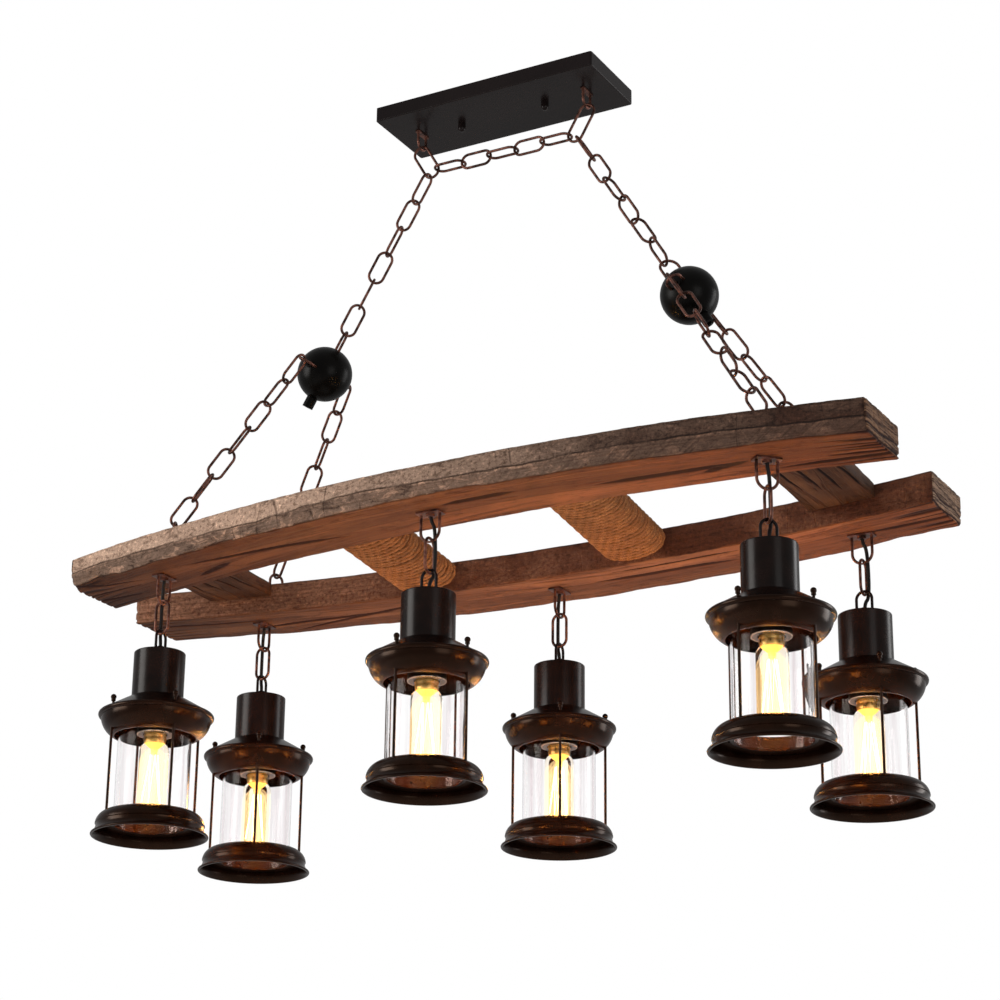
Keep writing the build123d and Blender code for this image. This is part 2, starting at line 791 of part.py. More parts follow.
# Dish: crown under the cap, beaded rim and bowl round the glass
crown_slope = (crown_height - dish_bead) / (bead_radius - crown_foot)
rod_radius = rod_diameter / 2
rod_circle_radius = rod_circle / 2
crown_at_rod = cap_seat - (rod_circle_radius - crown_foot) * crown_slope
with BuildPart() as dish:
    with BuildSketch(Plane.XZ):
        with BuildLine():
            rim_above = (bead_radius, dish_rim_z + dish_bead)
            rim_below = (bead_radius, dish_rim_z - dish_bead)
            inside = bead_radius - lantern_sheet
            Polyline((hub_radius, cap_seat), (crown_foot, cap_seat), rim_above)
            ThreePointArc(rim_above, (dish_radius, dish_rim_z), rim_below)
            bulging_arc(rim_below, (lip_radius, dish_lip_z), bowl_bulge)
            Line((lip_radius, dish_lip_z), (lip_radius - lantern_sheet, dish_lip_z))
            bulging_arc(
                (inside, dish_rim_z - dish_bead), (lip_radius - lantern_sheet, dish_lip_z), bowl_bulge
            )
            Polyline(
                (inside, dish_rim_z - dish_bead),
                (inside, dish_rim_z + dish_bead - lantern_sheet),
                (crown_foot, cap_seat - lantern_sheet),
                (hub_radius, cap_seat - lantern_sheet),
                (hub_radius, cap_seat),
            )
        make_face()
    revolve(axis=Axis.Z)
    with Locations((0, 0, dish_rim_z)):
        with PolarLocations(rod_circle_radius, rod_count):
            Cylinder(rod_radius + rod_clearance, 4 * crown_height, mode=Mode.SUBTRACT)

# Cage: rods with ball nuts, and the flared base ring with the ledge that carries the glass
base_radius = base_diameter / 2
step_radius = base_step_diameter / 2
tube_inside = glass_diameter / 2 + glass_clearance
tube_outside = tube_inside + lantern_sheet
ledge_z = base_rim + ledge_height
step_z = base_rim + base_step_height
skirt_radius = step_radius - base_step
shoulder_foot = tube_outside + lantern_sheet
with BuildPart() as base_ring:
    with BuildSketch(Plane.XZ):
        with BuildLine():
            Polyline(
                (tube_inside, base_top),
                (tube_inside, ledge_z + lantern_sheet),
                (tube_inside - ledge_width, ledge_z + lantern_sheet),
                (tube_inside - ledge_width, ledge_z),
                (tube_outside, ledge_z),
                (tube_outside, base_top - lantern_sheet),
                (shoulder_foot, base_top - lantern_sheet),
            )
            bulging_arc(
                (shoulder_foot, base_top - lantern_sheet), (step_radius - lantern_sheet, step_z), base_bulge
            )
            Line((step_radius - lantern_sheet, step_z), (skirt_radius - lantern_sheet, step_z - base_step))
            bulging_arc(
                (skirt_radius - lantern_sheet, step_z - base_step),
                (base_radius - base_bead - lantern_sheet, base_rim),
                -base_flare,
            )
            Line((base_radius - base_bead - lantern_sheet, base_rim), (base_radius - base_bead, base_rim))
            ThreePointArc(
                (base_radius - base_bead, base_rim),
                (base_radius, base_rim + base_bead),
                (base_radius - base_bead, base_rim + 2 * base_bead),
            )
            bulging_arc(
                (base_radius - base_bead, base_rim + 2 * base_bead),
                (skirt_radius, step_z - base_step),
                -base_flare,
            )
            Line((skirt_radius, step_z - base_step), (step_radius, step_z))
            bulging_arc((step_radius, step_z), (shoulder_foot, base_top), base_bulge)
            Line((shoulder_foot, base_top), (tube_inside, base_top))
        make_face()
    revolve(axis=Axis.Z)
    with Locations((0, 0, base_top)):
        with PolarLocations(rod_circle_radius, rod_count):
            Cylinder(rod_radius + rod_clearance, base_height, mode=Mode.SUBTRACT)

rod_foot_space = Plane((rod_circle_radius, 0, base_top)) * Cylinder(rod_foot_diameter / 2, base_height)
rod_slice = base_ring.part & rod_foot_space
shoulder_under = rod_slice.bounding_box().min.Z - thread_clearance
nut_seat = crown_at_rod + (rod_radius + ball_nut_neck / 2) * crown_slope
rod_top = nut_seat + rod_in_nut
with BuildPart() as rods:
    with PolarLocations(rod_circle_radius, rod_count):
        with Locations((0, 0, shoulder_under)):
            Cylinder(rod_radius, rod_top - shoulder_under, align=(Align.CENTER, Align.CENTER, Align.MIN))
            Cylinder(
                rod_foot_diameter / 2, rod_foot_height, align=(Align.CENTER, Align.CENTER, Align.MAX)
            )
with BuildPart() as ball_nuts:
    with PolarLocations(rod_circle_radius, rod_count):
        with Locations((0, 0, nut_seat)):
            Cylinder(
                ball_nut_neck / 2,
                ball_nut_neck_height + ball_nut_diameter / 2,
                align=(Align.CENTER, Align.CENTER, Align.MIN),
            )
        with Locations((0, 0, nut_seat + ball_nut_neck_height + ball_nut_diameter / 2)):
            Sphere(ball_nut_diameter / 2)
        with Locations((0, 0, nut_seat)):
            Cylinder(
                rod_radius + thread_clearance,
                rod_in_nut + thread_clearance,
                align=(Align.CENTER, Align.CENTER, Align.MIN),
                mode=Mode.SUBTRACT,
            )

# Glass tube on the ledge of the base ring
glass_foot = ledge_z + lantern_sheet
with BuildPart() as glass:
    with BuildSketch(Plane.XY.offset(glass_foot)):
        Circle(glass_diameter / 2)
        Circle(glass_diameter / 2 - glass_wall, mode=Mode.SUBTRACT)
    extrude(amount=dish_lip_z + glass_in_dish - glass_foot)

# Lampholder under the dish, on the hollow nipple that runs up through the cap
holder_top = cap_seat - lantern_sheet
holder_foot = holder_top - holder_height
with BuildPart() as lampholder:
    with BuildSketch(Plane.XZ):
        with BuildLine():
            Polyline(
                (nipple_bore / 2, cap_top + nipple_rise),
                (nipple_diameter / 2, cap_top + nipple_rise),
                (nipple_diameter / 2, holder_top),
                (holder_diameter / 2, holder_top),
                (holder_diameter / 2, holder_foot + holder_ring_height),
                (holder_ring_diameter / 2, holder_foot + holder_ring_height),
                (holder_ring_diameter / 2, holder_foot),
                (socket_diameter / 2, holder_foot),
                (socket_diameter / 2, holder_foot + socket_depth),
                (nipple_bore / 2, holder_foot + socket_depth),
                close=True,
            )
        make_face()
    revolve(axis=Axis.Z)

# Bulb: screw base, neck and round-ended tube
bulb_top = holder_foot + socket_depth - bulb_seat_gap
bulb_foot = bulb_top - bulb_length
neck_z = holder_foot - bulb_neck_length
tube_z = neck_z - bulb_shoulder
bulb_radius = bulb_diameter / 2
with BuildPart() as bulb:
    with BuildSketch(Plane.XZ):
        with BuildLine():
            Polyline(
                (0, bulb_top),
                (contact_diameter / 2, bulb_top),
                (contact_diameter / 2, bulb_top - contact_height),
                (bulb_base_diameter / 2, bulb_top - 2 * contact_height),
                (bulb_base_diameter / 2, holder_foot),
                (bulb_neck_diameter / 2, neck_z),
                (bulb_radius, tube_z),
                (bulb_radius, bulb_foot + bulb_radius),
            )
            ThreePointArc(
                (bulb_radius, bulb_foot + bulb_radius),
                (bulb_radius * sin(pi / 4), bulb_foot + bulb_radius * (1 - cos(pi / 4))),
                (0, bulb_foot),
            )
            Line((0, bulb_foot), (0, bulb_top))
        make_face()
    revolve(axis=Axis.Z)

# The six lanterns: each hangs from its staple by one link
for name, spot in lantern_places.items():
    across = hang_direction(name)
    place = Location(spot, (0, 0, hang_turns[name]))
    cage_place = Location(spot, (0, 0, cage_turns[name]))
    link_place = Plane(spot + Vector(0, 0, link_middle_z), x_dir=(0, 0, -1), z_dir=across)
    save_copy(link, f"{name}_link", link_place)
    with BuildPart() as cap_set:
        with Locations(place):
            add(cap.part)
            add(cap_bow.part)
    save(cap_set, f"{name}_cap")
    save_copy(dish, f"{name}_dish", cage_place)
    with BuildPart() as cage:
        with Locations(cage_place):
            add(base_ring.part)
            add(rods.part)
            add(ball_nuts.part)
    save(cage, f"{name}_cage")
    save_copy(glass, f"{name}_glass", place)
    save_copy(lampholder, f"{name}_lampholder", place)
    save_copy(bulb, f"{name}_bulb", place)

print(f"sway axis z {sway_axis_z:.3f}, hooks at x {hook_x:.3f}, canopy length {canopy_length:.2f}")
print(f"ball {ball_centre.X:.2f}, {ball_centre.Z:.2f}; beam top {beam_top:.2f}, underside {beam_under:.2f}")
print(f"link hinge z {staple_wire_z:.3f}, lantern hinge z {link_foot_z:.3f}")
print(f"cap top {cap_top:.2f}, base rim {base_rim:.2f}, bulb foot {bulb_foot:.2f}")
for name, spot in lantern_places.items():
    print(f"{name}: {spot.X:.3f}, {spot.Y:.3f}, turned {hang_turns[name]:.0f}")
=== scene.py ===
import json
import math
from types import SimpleNamespace

import bmesh
import bpy
from mathutils import Matrix, Vector, kdtree, noise

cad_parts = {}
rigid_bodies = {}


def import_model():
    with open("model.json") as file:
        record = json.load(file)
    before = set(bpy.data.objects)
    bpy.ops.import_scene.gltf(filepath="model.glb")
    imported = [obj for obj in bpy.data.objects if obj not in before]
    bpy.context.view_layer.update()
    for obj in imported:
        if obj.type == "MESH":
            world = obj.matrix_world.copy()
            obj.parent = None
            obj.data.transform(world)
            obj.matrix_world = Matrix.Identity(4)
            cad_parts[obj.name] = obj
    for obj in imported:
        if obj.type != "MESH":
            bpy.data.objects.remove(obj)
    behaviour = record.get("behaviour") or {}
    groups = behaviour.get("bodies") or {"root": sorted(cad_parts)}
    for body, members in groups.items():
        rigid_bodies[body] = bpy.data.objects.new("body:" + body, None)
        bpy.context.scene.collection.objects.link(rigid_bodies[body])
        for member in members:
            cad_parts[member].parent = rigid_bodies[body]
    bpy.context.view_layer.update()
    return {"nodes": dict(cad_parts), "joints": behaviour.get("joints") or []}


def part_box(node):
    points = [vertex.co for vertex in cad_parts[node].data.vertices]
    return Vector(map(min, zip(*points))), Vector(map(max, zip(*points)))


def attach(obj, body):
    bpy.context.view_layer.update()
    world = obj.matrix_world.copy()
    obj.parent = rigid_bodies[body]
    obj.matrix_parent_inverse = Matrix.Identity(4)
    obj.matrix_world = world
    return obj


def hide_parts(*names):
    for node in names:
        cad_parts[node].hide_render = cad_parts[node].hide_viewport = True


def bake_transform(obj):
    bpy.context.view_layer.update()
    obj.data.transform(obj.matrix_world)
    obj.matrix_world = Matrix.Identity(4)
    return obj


bl_info = {
    "name": "Wooden lantern pendant",
    "version": (1, 0, 0),
    "blender": (4, 5, 0),
    "location": "View3D > Sidebar > Pendant",
    "description": "Dresses a chain-hung wooden pendant light with six lanterns",
    "category": "Object",
}

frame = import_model()
nodes = frame["nodes"]
beam_low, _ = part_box("front_beam")

HANGERS = [joint["child"] for joint in frame["joints"] if joint["parent"] == "frame"]
LANTERNS = [name.removesuffix("_hanger") for name in HANGERS]
HINGES = {joint["name"]: Vector(joint["pos_m"]) for joint in frame["joints"]}
TURNS = {joint["name"]: Vector(joint["axis"]) for joint in frame["joints"]}

# Names of the meshes' UV map and attributes
GRAIN = "grain"
SPLIT = "split"
LEDGE = "ledge"
HEAT = "heat"
GROOVE_SHADE = "groove_shade"

# Wood: places on its UV map, grids of its blocks, and its wear
MIDDLE_EDGE = 0.048
EDGE_BLEND = 0.0015
END_GRAIN = 5.0
SAW_SLANT = 0.95
BEAM_CUTS = (360, 64, 30)
RAIL_CUTS = (110, 90, 6)
RAIL_GRAIN = 0.2
RAIL_PLAY = 0.0003
BEAM_ROUNDING = 0.0028
RAIL_ROUNDING = 0.0022
WORN_END = 0.085
SPLIT_DEPTH = 0.003
CHIP_DEPTH = 0.0026
GOUGE_DEPTH = 0.002
LAYER_DEPTH = 0.005
LEDGE_STEP = 0.0018
EDGE_HEIGHT = 0.018
KERF_COUNT = 4

# Rope, as shares of its diameter
STRAND_OFFSET = 0.23
STRAND_RADIUS = 0.265

# Bulbs and flexes
BULB_NECK = 0.009
BULB_SHOULDER = 0.009
THREAD_STEPS = 14
RIM_RADIUS = 0.02
RIM_WIRE = 0.0007
FILAMENT_LEGS = 10
FILAMENT_RADIUS = 0.0006
FLEX_DIAMETER = 0.004
FLEX_ASIDE = 0.0044
FLEX_BEND = 0.012

# Stage
FLOOR_LEVEL = -2.05
FLOOR_REACH = 40.0
LENS = 93.15


class BeamSizes(bpy.types.PropertyGroup):
    """Sizes of the wooden frame."""

    length: bpy.props.FloatProperty(
        name="Length", description="Length of both beams", default=1.0, unit="LENGTH"
    )
    thickness: bpy.props.FloatProperty(
        name="Thickness", description="Height of the beams", default=0.037, unit="LENGTH"
    )
    middle_width: bpy.props.FloatProperty(
        name="Middle width", description="Width of a beam at its middle", default=0.096, unit="LENGTH"
    )
    end_width: bpy.props.FloatProperty(
        name="End width", description="Width of a beam at its ends", default=0.090, unit="LENGTH"
    )
    left_gap: bpy.props.FloatProperty(
        name="Left gap", description="Beam centre to middle plane, left end", default=0.074, unit="LENGTH"
    )
    middle_gap: bpy.props.FloatProperty(
        name="Middle gap", description="Beam centre to middle plane, middle", default=0.147, unit="LENGTH"
    )
    right_gap: bpy.props.FloatProperty(
        name="Right gap", description="Beam centre to middle plane, right end", default=0.108, unit="LENGTH"
    )
    bevel_height: bpy.props.FloatProperty(
        name="Bevel height", description="Height of the lower outer band", default=0.017, unit="LENGTH"
    )
    bevel_depth: bpy.props.FloatProperty(
        name="Bevel depth", description="Inset of the lower outer edge", default=0.004, unit="LENGTH"
    )
    rail_place: bpy.props.FloatProperty(
        name="Rail place", description="Cross rails from the middle", default=0.380, unit="LENGTH"
    )
    rail_width: bpy.props.FloatProperty(
        name="Rail width", description="Width of a cross rail", default=0.080, unit="LENGTH"
    )
    rail_thickness: bpy.props.FloatProperty(
        name="Rail thickness", description="Height of a cross rail", default=0.017, unit="LENGTH"
    )
    rail_skew: bpy.props.FloatProperty(
        name="Rail skew", description="Turn of the cross rails", default=math.radians(3), subtype="ANGLE"
    )


class RopeSizes(bpy.types.PropertyGroup):
    """Sizes of the rope windings."""

    bar_place: bpy.props.FloatProperty(
        name="Bar place", description="Rope bars from the middle", default=0.133, unit="LENGTH"
    )
    bar_width: bpy.props.FloatProperty(
        name="Bar width", description="Width of the bar under the rope", default=0.066, unit="LENGTH"
    )
    bar_thickness: bpy.props.FloatProperty(
        name="Bar thickness", description="Height of the bar under the rope", default=0.015, unit="LENGTH"
    )
    bar_skew: bpy.props.FloatProperty(
        name="Bar skew", description="Turn of the rope bars", default=math.radians(7), subtype="ANGLE"
    )
    diameter: bpy.props.FloatProperty(
        name="Rope diameter", description="Across the twisted rope", default=0.0076, unit="LENGTH"
    )
    lay: bpy.props.FloatProperty(
        name="Lay", description="Length of one twist of the strands", default=0.030, unit="LENGTH"
    )
    spacing: bpy.props.FloatProperty(
        name="Spacing", description="Turn to turn, in rope diameters", default=1.03
    )
    swell: bpy.props.FloatProperty(
        name="Swell", description="Crown of the winding over its bar", default=0.005, unit="LENGTH"
    )
    looseness: bpy.props.FloatProperty(
        name="Looseness", description="How far a turn strays along the bar", default=0.0024, unit="LENGTH"
    )


class FinishColours(bpy.types.PropertyGroup):
    """Colours of the finishes."""

    underside: bpy.props.FloatVectorProperty(
        name="Underside wood",
        description="Planed wood under the beams",
        subtype="COLOR",
        default=(0.216, 0.079, 0.032),
    )
    underside_dark: bpy.props.FloatVectorProperty(
        name="Underside grain",
        description="Darker grain under the beams",
        subtype="COLOR",
        default=(0.099, 0.032, 0.013),
    )
    # Weathered wood, also the lit end of the painted light along the outer faces
    weathered: bpy.props.FloatVectorProperty(
        name="Weathered wood", description="Grey outer faces", subtype="COLOR", default=(0.40, 0.285, 0.215)
    )
    # Dark weathered wood, also the shaded end of the painted shade along the outer faces
    weathered_dark_and_shade: bpy.props.FloatVectorProperty(
        name="Dark weathered wood",
        description="Dark outer faces",
        subtype="COLOR",
        default=(0.032, 0.0140, 0.0085),
    )
    # Painted shadow inside the splits and cracks
    crack_shadow: bpy.props.FloatVectorProperty(
        name="Cracks", description="Depth of the cracks", subtype="COLOR", default=(0.018, 0.006, 0.004)
    )
    rope: bpy.props.FloatVectorProperty(
        name="Jute", description="Rope strands", subtype="COLOR", default=(0.285, 0.112, 0.040)
    )
    copper: bpy.props.FloatVectorProperty(
        name="Antique copper", description="Worn chain", subtype="COLOR", default=(0.16, 0.066, 0.047)
    )
    bronze: bpy.props.FloatVectorProperty(
        name="Dark bronze", description="Lantern metal", subtype="COLOR", default=(0.0034, 0.0012, 0.0007)
    )
    glow: bpy.props.FloatVectorProperty(
        name="Glow", description="Colour of the lamps' light", subtype="COLOR", default=(1.0, 0.40, 0.09)
    )


class Flow:
    """A socket in a material's node tree, with arithmetic."""

    def __init__(self, tree, socket=None):
        self.tree = tree
        self.socket = socket

    def make(self, kind, settings=None, inputs=None, output=0):
        """Add a node with its settings and its inputs, and give one of its outputs."""
        node = self.tree.nodes.new(kind)
        for name, value in (settings or {}).items():
            setattr(node, name, value)
        for name, value in (inputs or {}).items():
            if isinstance(value, Flow):
                self.tree.links.new(value.socket, node.inputs[name])
            else:
                node.inputs[name].default_value = value
        return Flow(self.tree, node.outputs[output] if node.outputs else None)

    def math(self, operation, *others):
        """A Math node on this value and the others."""
        return self.make("ShaderNodeMath", {"operation": operation}, dict(enumerate((self, *others))))

    def __add__(self, other):
        return self.math("ADD", other)

    __radd__ = __add__

    def __mul__(self, other):
        return self.math("MULTIPLY", other)

    __rmul__ = __mul__

    def __sub__(self, other):
        return self.math("SUBTRACT", other)

    def __rsub__(self, other):
        return self.make("ShaderNodeMath", {"operation": "SUBTRACT"}, {0: other, 1: self})

    def __gt__(self, other):
        return self.math("GREATER_THAN", other)

    def __abs__(self):
        return self.math("ABSOLUTE")

    def between(self, low, high):
        """0 at low, 1 at high, and smooth between them."""
        return self.make(
            "ShaderNodeMapRange",
            {"interpolation_type": "SMOOTHSTEP"},
            {"Value": self, "From Min": low, "From Max": high},
        )

    def under(self, low, high):
        """1 at low, 0 at high, and smooth between them."""
        return 1 - self.between(low, high)

    def mix(self, first, second):
        """Mix two colours, this value being the share of the second."""
        return self.make(
            "ShaderNodeMix", {"data_type": "RGBA", "clamp_factor": True}, {0: self, 6: first, 7: second}, 2
        )

    def shaded(self, colour, share=1.0):
        """This colour multiplied by another, by a share."""
        return self.make(
            "ShaderNodeMix",
            {"data_type": "RGBA", "blend_type": "MULTIPLY", "clamp_factor": True},
            {0: share, 6: self, 7: rgba(colour)},
            2,
        )

    def coated(self, *coats):
        """This colour multiplied by tints in turn, each by its share."""
        colour = self
        for tint, share in coats:
            colour = colour.shaded(tint, share)
        return colour


def rgba(colour):
    """A colour with full alpha."""
    return (*colour, 1.0)


def new_material(name):
    """An empty material and the start of its node tree."""
    material = bpy.data.materials.new(name)
    material.use_nodes = True
    material.node_tree.nodes.clear()
    return material, Flow(material.node_tree)


def surface(start, settings):
    """End a material in a Principled shader with these inputs."""
    body = start.make("ShaderNodeBsdfPrincipled", None, settings)
    start.make("ShaderNodeOutputMaterial", None, {"Surface": body})


def object_place(start):
    """Object coordinates."""
    return start.make("ShaderNodeTexCoord", output="Object")


def painted(start, name):
    """Values that the mesh holds under a name."""
    return start.make("ShaderNodeAttribute", {"attribute_name": name}, output="Fac")


def rays(start, *kinds):
    """1 for rays of two kinds, and 0 for others."""
    first, second = [start.make("ShaderNodeLightPath", output=kind) for kind in kinds]
    return first.math("MAXIMUM", second)


def speckle(start, place, scale, detail, rough=0.55, stretch=None, distortion=0.0):
    """Noise over a place, stretched if asked."""
    if stretch:
        place = start.make("ShaderNodeMapping", None, {"Vector": place, "Scale": stretch})
    return start.make(
        "ShaderNodeTexNoise",
        None,
        {"Vector": place, "Scale": scale, "Detail": detail, "Roughness": rough, "Distortion": distortion},
    )


def relief(start, height, distance, strength=1.0):
    """Bump of a height."""
    return start.make("ShaderNodeBump", None, {"Height": height, "Distance": distance, "Strength": strength})


def metal_finish(
    name,
    dark,
    light,
    roughness,
    metallic,
    grain,
    wear=(0.35, 0.7),
    shine=0.5,
    tooth=0.6,
    tint=(1.0, 1.0, 1.0),
):
    """Painted or aged metal: two shades in soft patches, uneven gloss and fine tooth."""
    material, start = new_material(name)
    place = object_place(start)
    patches = speckle(start, place, grain, 4.0)
    fine = speckle(start, place, grain * 14, 2.0)
    surface(
        start,
        {
            "Base Color": patches.between(*wear).mix(rgba(dark), rgba(light)),
            "Roughness": (patches - 0.5) * 0.16 + (fine - 0.5) * 0.10 + roughness,
            "Metallic": metallic,
            "Specular IOR Level": shine,
            "Specular Tint": rgba(tint),
            "Normal": relief(start, fine + patches * 0.6, 0.00015, tooth),
        },
    )
    return material


def plain_finish(name, colour, roughness, grain):
    """Moulded plastic or rubber, slightly uneven."""
    material, start = new_material(name)
    tooth = speckle(start, object_place(start), grain, 3.0)
    surface(
        start,
        {
            "Base Color": tooth.mix(rgba([c * 0.85 for c in colour]), rgba(colour)),
            "Roughness": (tooth - 0.5) * 0.2 + roughness,
            "Specular IOR Level": 0.2,
            "Normal": relief(start, tooth, 0.0001, 0.5),
        },
    )
    return material


def wood_chart(start):
    """Where a point lies on the wood, and the noises that its faces share."""
    chart = start.make("ShaderNodeUVMap", {"uv_map": GRAIN})
    slanted = start.make("ShaderNodeMapping", None, {"Vector": chart, "Rotation": (0, 0, SAW_SLANT)})
    figure = speckle(start, chart, 1.0, 4.0, 0.6, (2.0, 26.0, 1.0), 0.7)
    growth = (figure * 6.0).math("PINGPONG", 0.5)
    blotch = speckle(start, chart, 9.0, 4.0, 0.6)
    nicks = speckle(start, chart, 1.0, 1.0, 0.5, (30.0, 4.0, 1.0))
    return SimpleNamespace(
        along=start.make("ShaderNodeSeparateXYZ", None, {0: chart}, "X"),
        across=start.make("ShaderNodeSeparateXYZ", None, {0: chart}, "Y"),
        split=painted(start, SPLIT),
        ledge=painted(start, LEDGE),
        figure=figure,
        blotch=blotch,
        fibres=speckle(start, chart, 1.0, 4.0, 0.65, (7.0, 420.0, 1.0), 0.2),
        pores=speckle(start, chart, 1.0, 2.0, 0.5, (60.0, 1500.0, 1.0)),
        scars=speckle(start, chart, 1.0, 5.0, 0.7, (38.0, 90.0, 1.0), 1.0),
        rings=speckle(start, chart, 1.0, 4.0, 0.6, (22.0, 340.0, 1.0), 0.8),
        crumble=speckle(start, chart, 230.0, 5.0, 0.75),
        saw=speckle(start, slanted, 1.0, 3.0, 0.6, (330.0, 24.0, 1.0), 0.4),
        chops=abs(nicks - 0.5).under(0.002, 0.014) * blotch.between(0.50, 0.62),
        grain_lines=growth.under(0.02, 0.13) * blotch.between(0.32, 0.58),
    )


def planed_face(wood, colours):
    """Ruddy underside with figure, grain lines and fibres, and painted shade at its ends and middle."""
    colour = wood.figure.between(0.36, 0.66).mix(rgba(colours.underside_dark), rgba(colours.underside))
    return colour.coated(
        ((0.40, 0.31, 0.27), wood.grain_lines * 0.75),
        ((0.55, 0.48, 0.42), wood.fibres.under(0.34, 0.50) * 0.5),
        ((0.52, 0.47, 0.44), wood.scars.under(0.34, 0.50) * 0.75),
        ((1.5, 1.5, 1.5), wood.blotch.between(0.48, 0.72) * 0.7),
        ((1.45, 1.5, 1.6), wood.fibres.between(0.56, 0.70) * 0.5),
        # Painted shade: darker towards the left end and more at the far left, darker and ruddier towards the
        # right, darker round the middle
        ((0.52, 0.54, 0.54), wood.along.under(-0.30, 0.06)),
        ((0.60, 0.62, 0.64), wood.along.under(-0.48, -0.34)),
        ((0.80, 0.68, 0.56), wood.along.between(0.05, 0.45)),
        ((0.66, 0.68, 0.70), abs(wood.along - 0.04).under(0.08, 0.26)),
    )


def upper_band(wood, colours, painted_lit_end, painted_shaded_end):
    """Upper band of an outer face: weathered wood with painted light at one end and painted shade at the
    other.
    """
    # Painted light and shade: pale towards one end of the beam and dark towards the other, with random
    # blotches
    tone = wood.along.under(painted_lit_end, painted_shaded_end) + (wood.blotch - 0.5) * 0.8
    tone = tone.math("MINIMUM", 1.0).math("MAXIMUM", 0.0)
    return tone.mix(rgba(colours.weathered_dark_and_shade), rgba(colours.weathered)).coated(
        ((0.38, 0.32, 0.29), wood.crumble.under(0.36, 0.50) * 0.9),
        ((0.46, 0.42, 0.40), wood.scars.under(0.36, 0.46) * 0.9),
        ((2.2, 2.1, 2.05), wood.crumble.between(0.54, 0.68) * 0.8),
        ((1.6, 1.6, 1.6), wood.scars.between(0.55, 0.66) * 0.7),
    )


def lower_band(wood, colours):
    """Lower band of an outer face, hewn and chipped at the left and sawn at the right, with painted shade
    towards the right.
    """
    # Painted shade: the band darkens towards the right end of the beam
    tone = wood.along.under(0.0, 0.44) * 0.22 + 0.07 + (wood.blotch - 0.5) * 0.3
    sawn_end = wood.along.between(-0.05, 0.30)
    hewn_end = 1 - sawn_end
    return tone.mix(rgba(colours.weathered_dark_and_shade), rgba(colours.weathered)).coated(
        ((0.60, 0.55, 0.50), wood.fibres.under(0.36, 0.54) * 0.7),
        ((0.46, 0.40, 0.37), wood.crumble.under(0.36, 0.50) * 0.7),
        ((1.9, 1.85, 1.8), wood.crumble.between(0.56, 0.68) * 0.7),
        ((0.60, 0.56, 0.52), wood.saw.under(0.36, 0.46) * sawn_end * 0.7),
        ((1.7, 1.65, 1.6), wood.saw.between(0.56, 0.66) * sawn_end * 0.6),
        ((0.30, 0.26, 0.24), wood.scars.under(0.38, 0.47) * hewn_end * 0.85),
        ((2.3, 2.2, 2.1), wood.scars.between(0.53, 0.62) * (hewn_end * 0.5 + 0.4)),
    )


def outer_face(wood, lower, upper):
    """Two bands with a painted highlight on the ledge's lip and painted shadow in its crease between them,
    and chop marks.
    """
    # Painted highlight on the lip below the ledge and painted shadow in its crease
    lip = abs(wood.ledge + 0.0016).under(0.0, 0.0020) * wood.crumble.between(0.38, 0.58)
    ledge_shadow = abs(wood.ledge - 0.0004).under(0.0004, 0.0020) * wood.scars.between(0.36, 0.50)
    return wood.ledge.between(-0.0008, 0.0008).mix(lower, upper).coated(
        ((1.8, 1.75, 1.7), lip * 0.8),
        ((0.26, 0.23, 0.21), ledge_shadow * wood.blotch.between(0.34, 0.48)),
        ((0.30, 0.26, 0.24), wood.chops * 0.8),
    )


def inner_face(wood, colours, upper):
    """Weathered wood stained ruddy, with painted shadow at the left."""
    stain = rgba([c * 0.6 for c in colours.underside_dark])
    colour = (wood.fibres.between(0.4, 0.6) * 0.4).mix(upper.shaded((1.10, 0.70, 0.50)), stain)
    # Painted shadow towards the left end
    return colour.shaded((0.55, 0.55, 0.56), wood.along.under(-0.34, -0.08))


def end_face(wood, colours):
    """Pale growth rings on dark, crumbled wood."""
    pale = rgba([c * share for c, share in zip(colours.weathered, (0.60, 0.48, 0.37))])
    colour = (wood.rings.between(0.40, 0.60) * 0.8).mix(rgba(colours.weathered_dark_and_shade), pale)
    return colour.shaded((0.50, 0.45, 0.42), wood.crumble.under(0.36, 0.52) * 0.8)


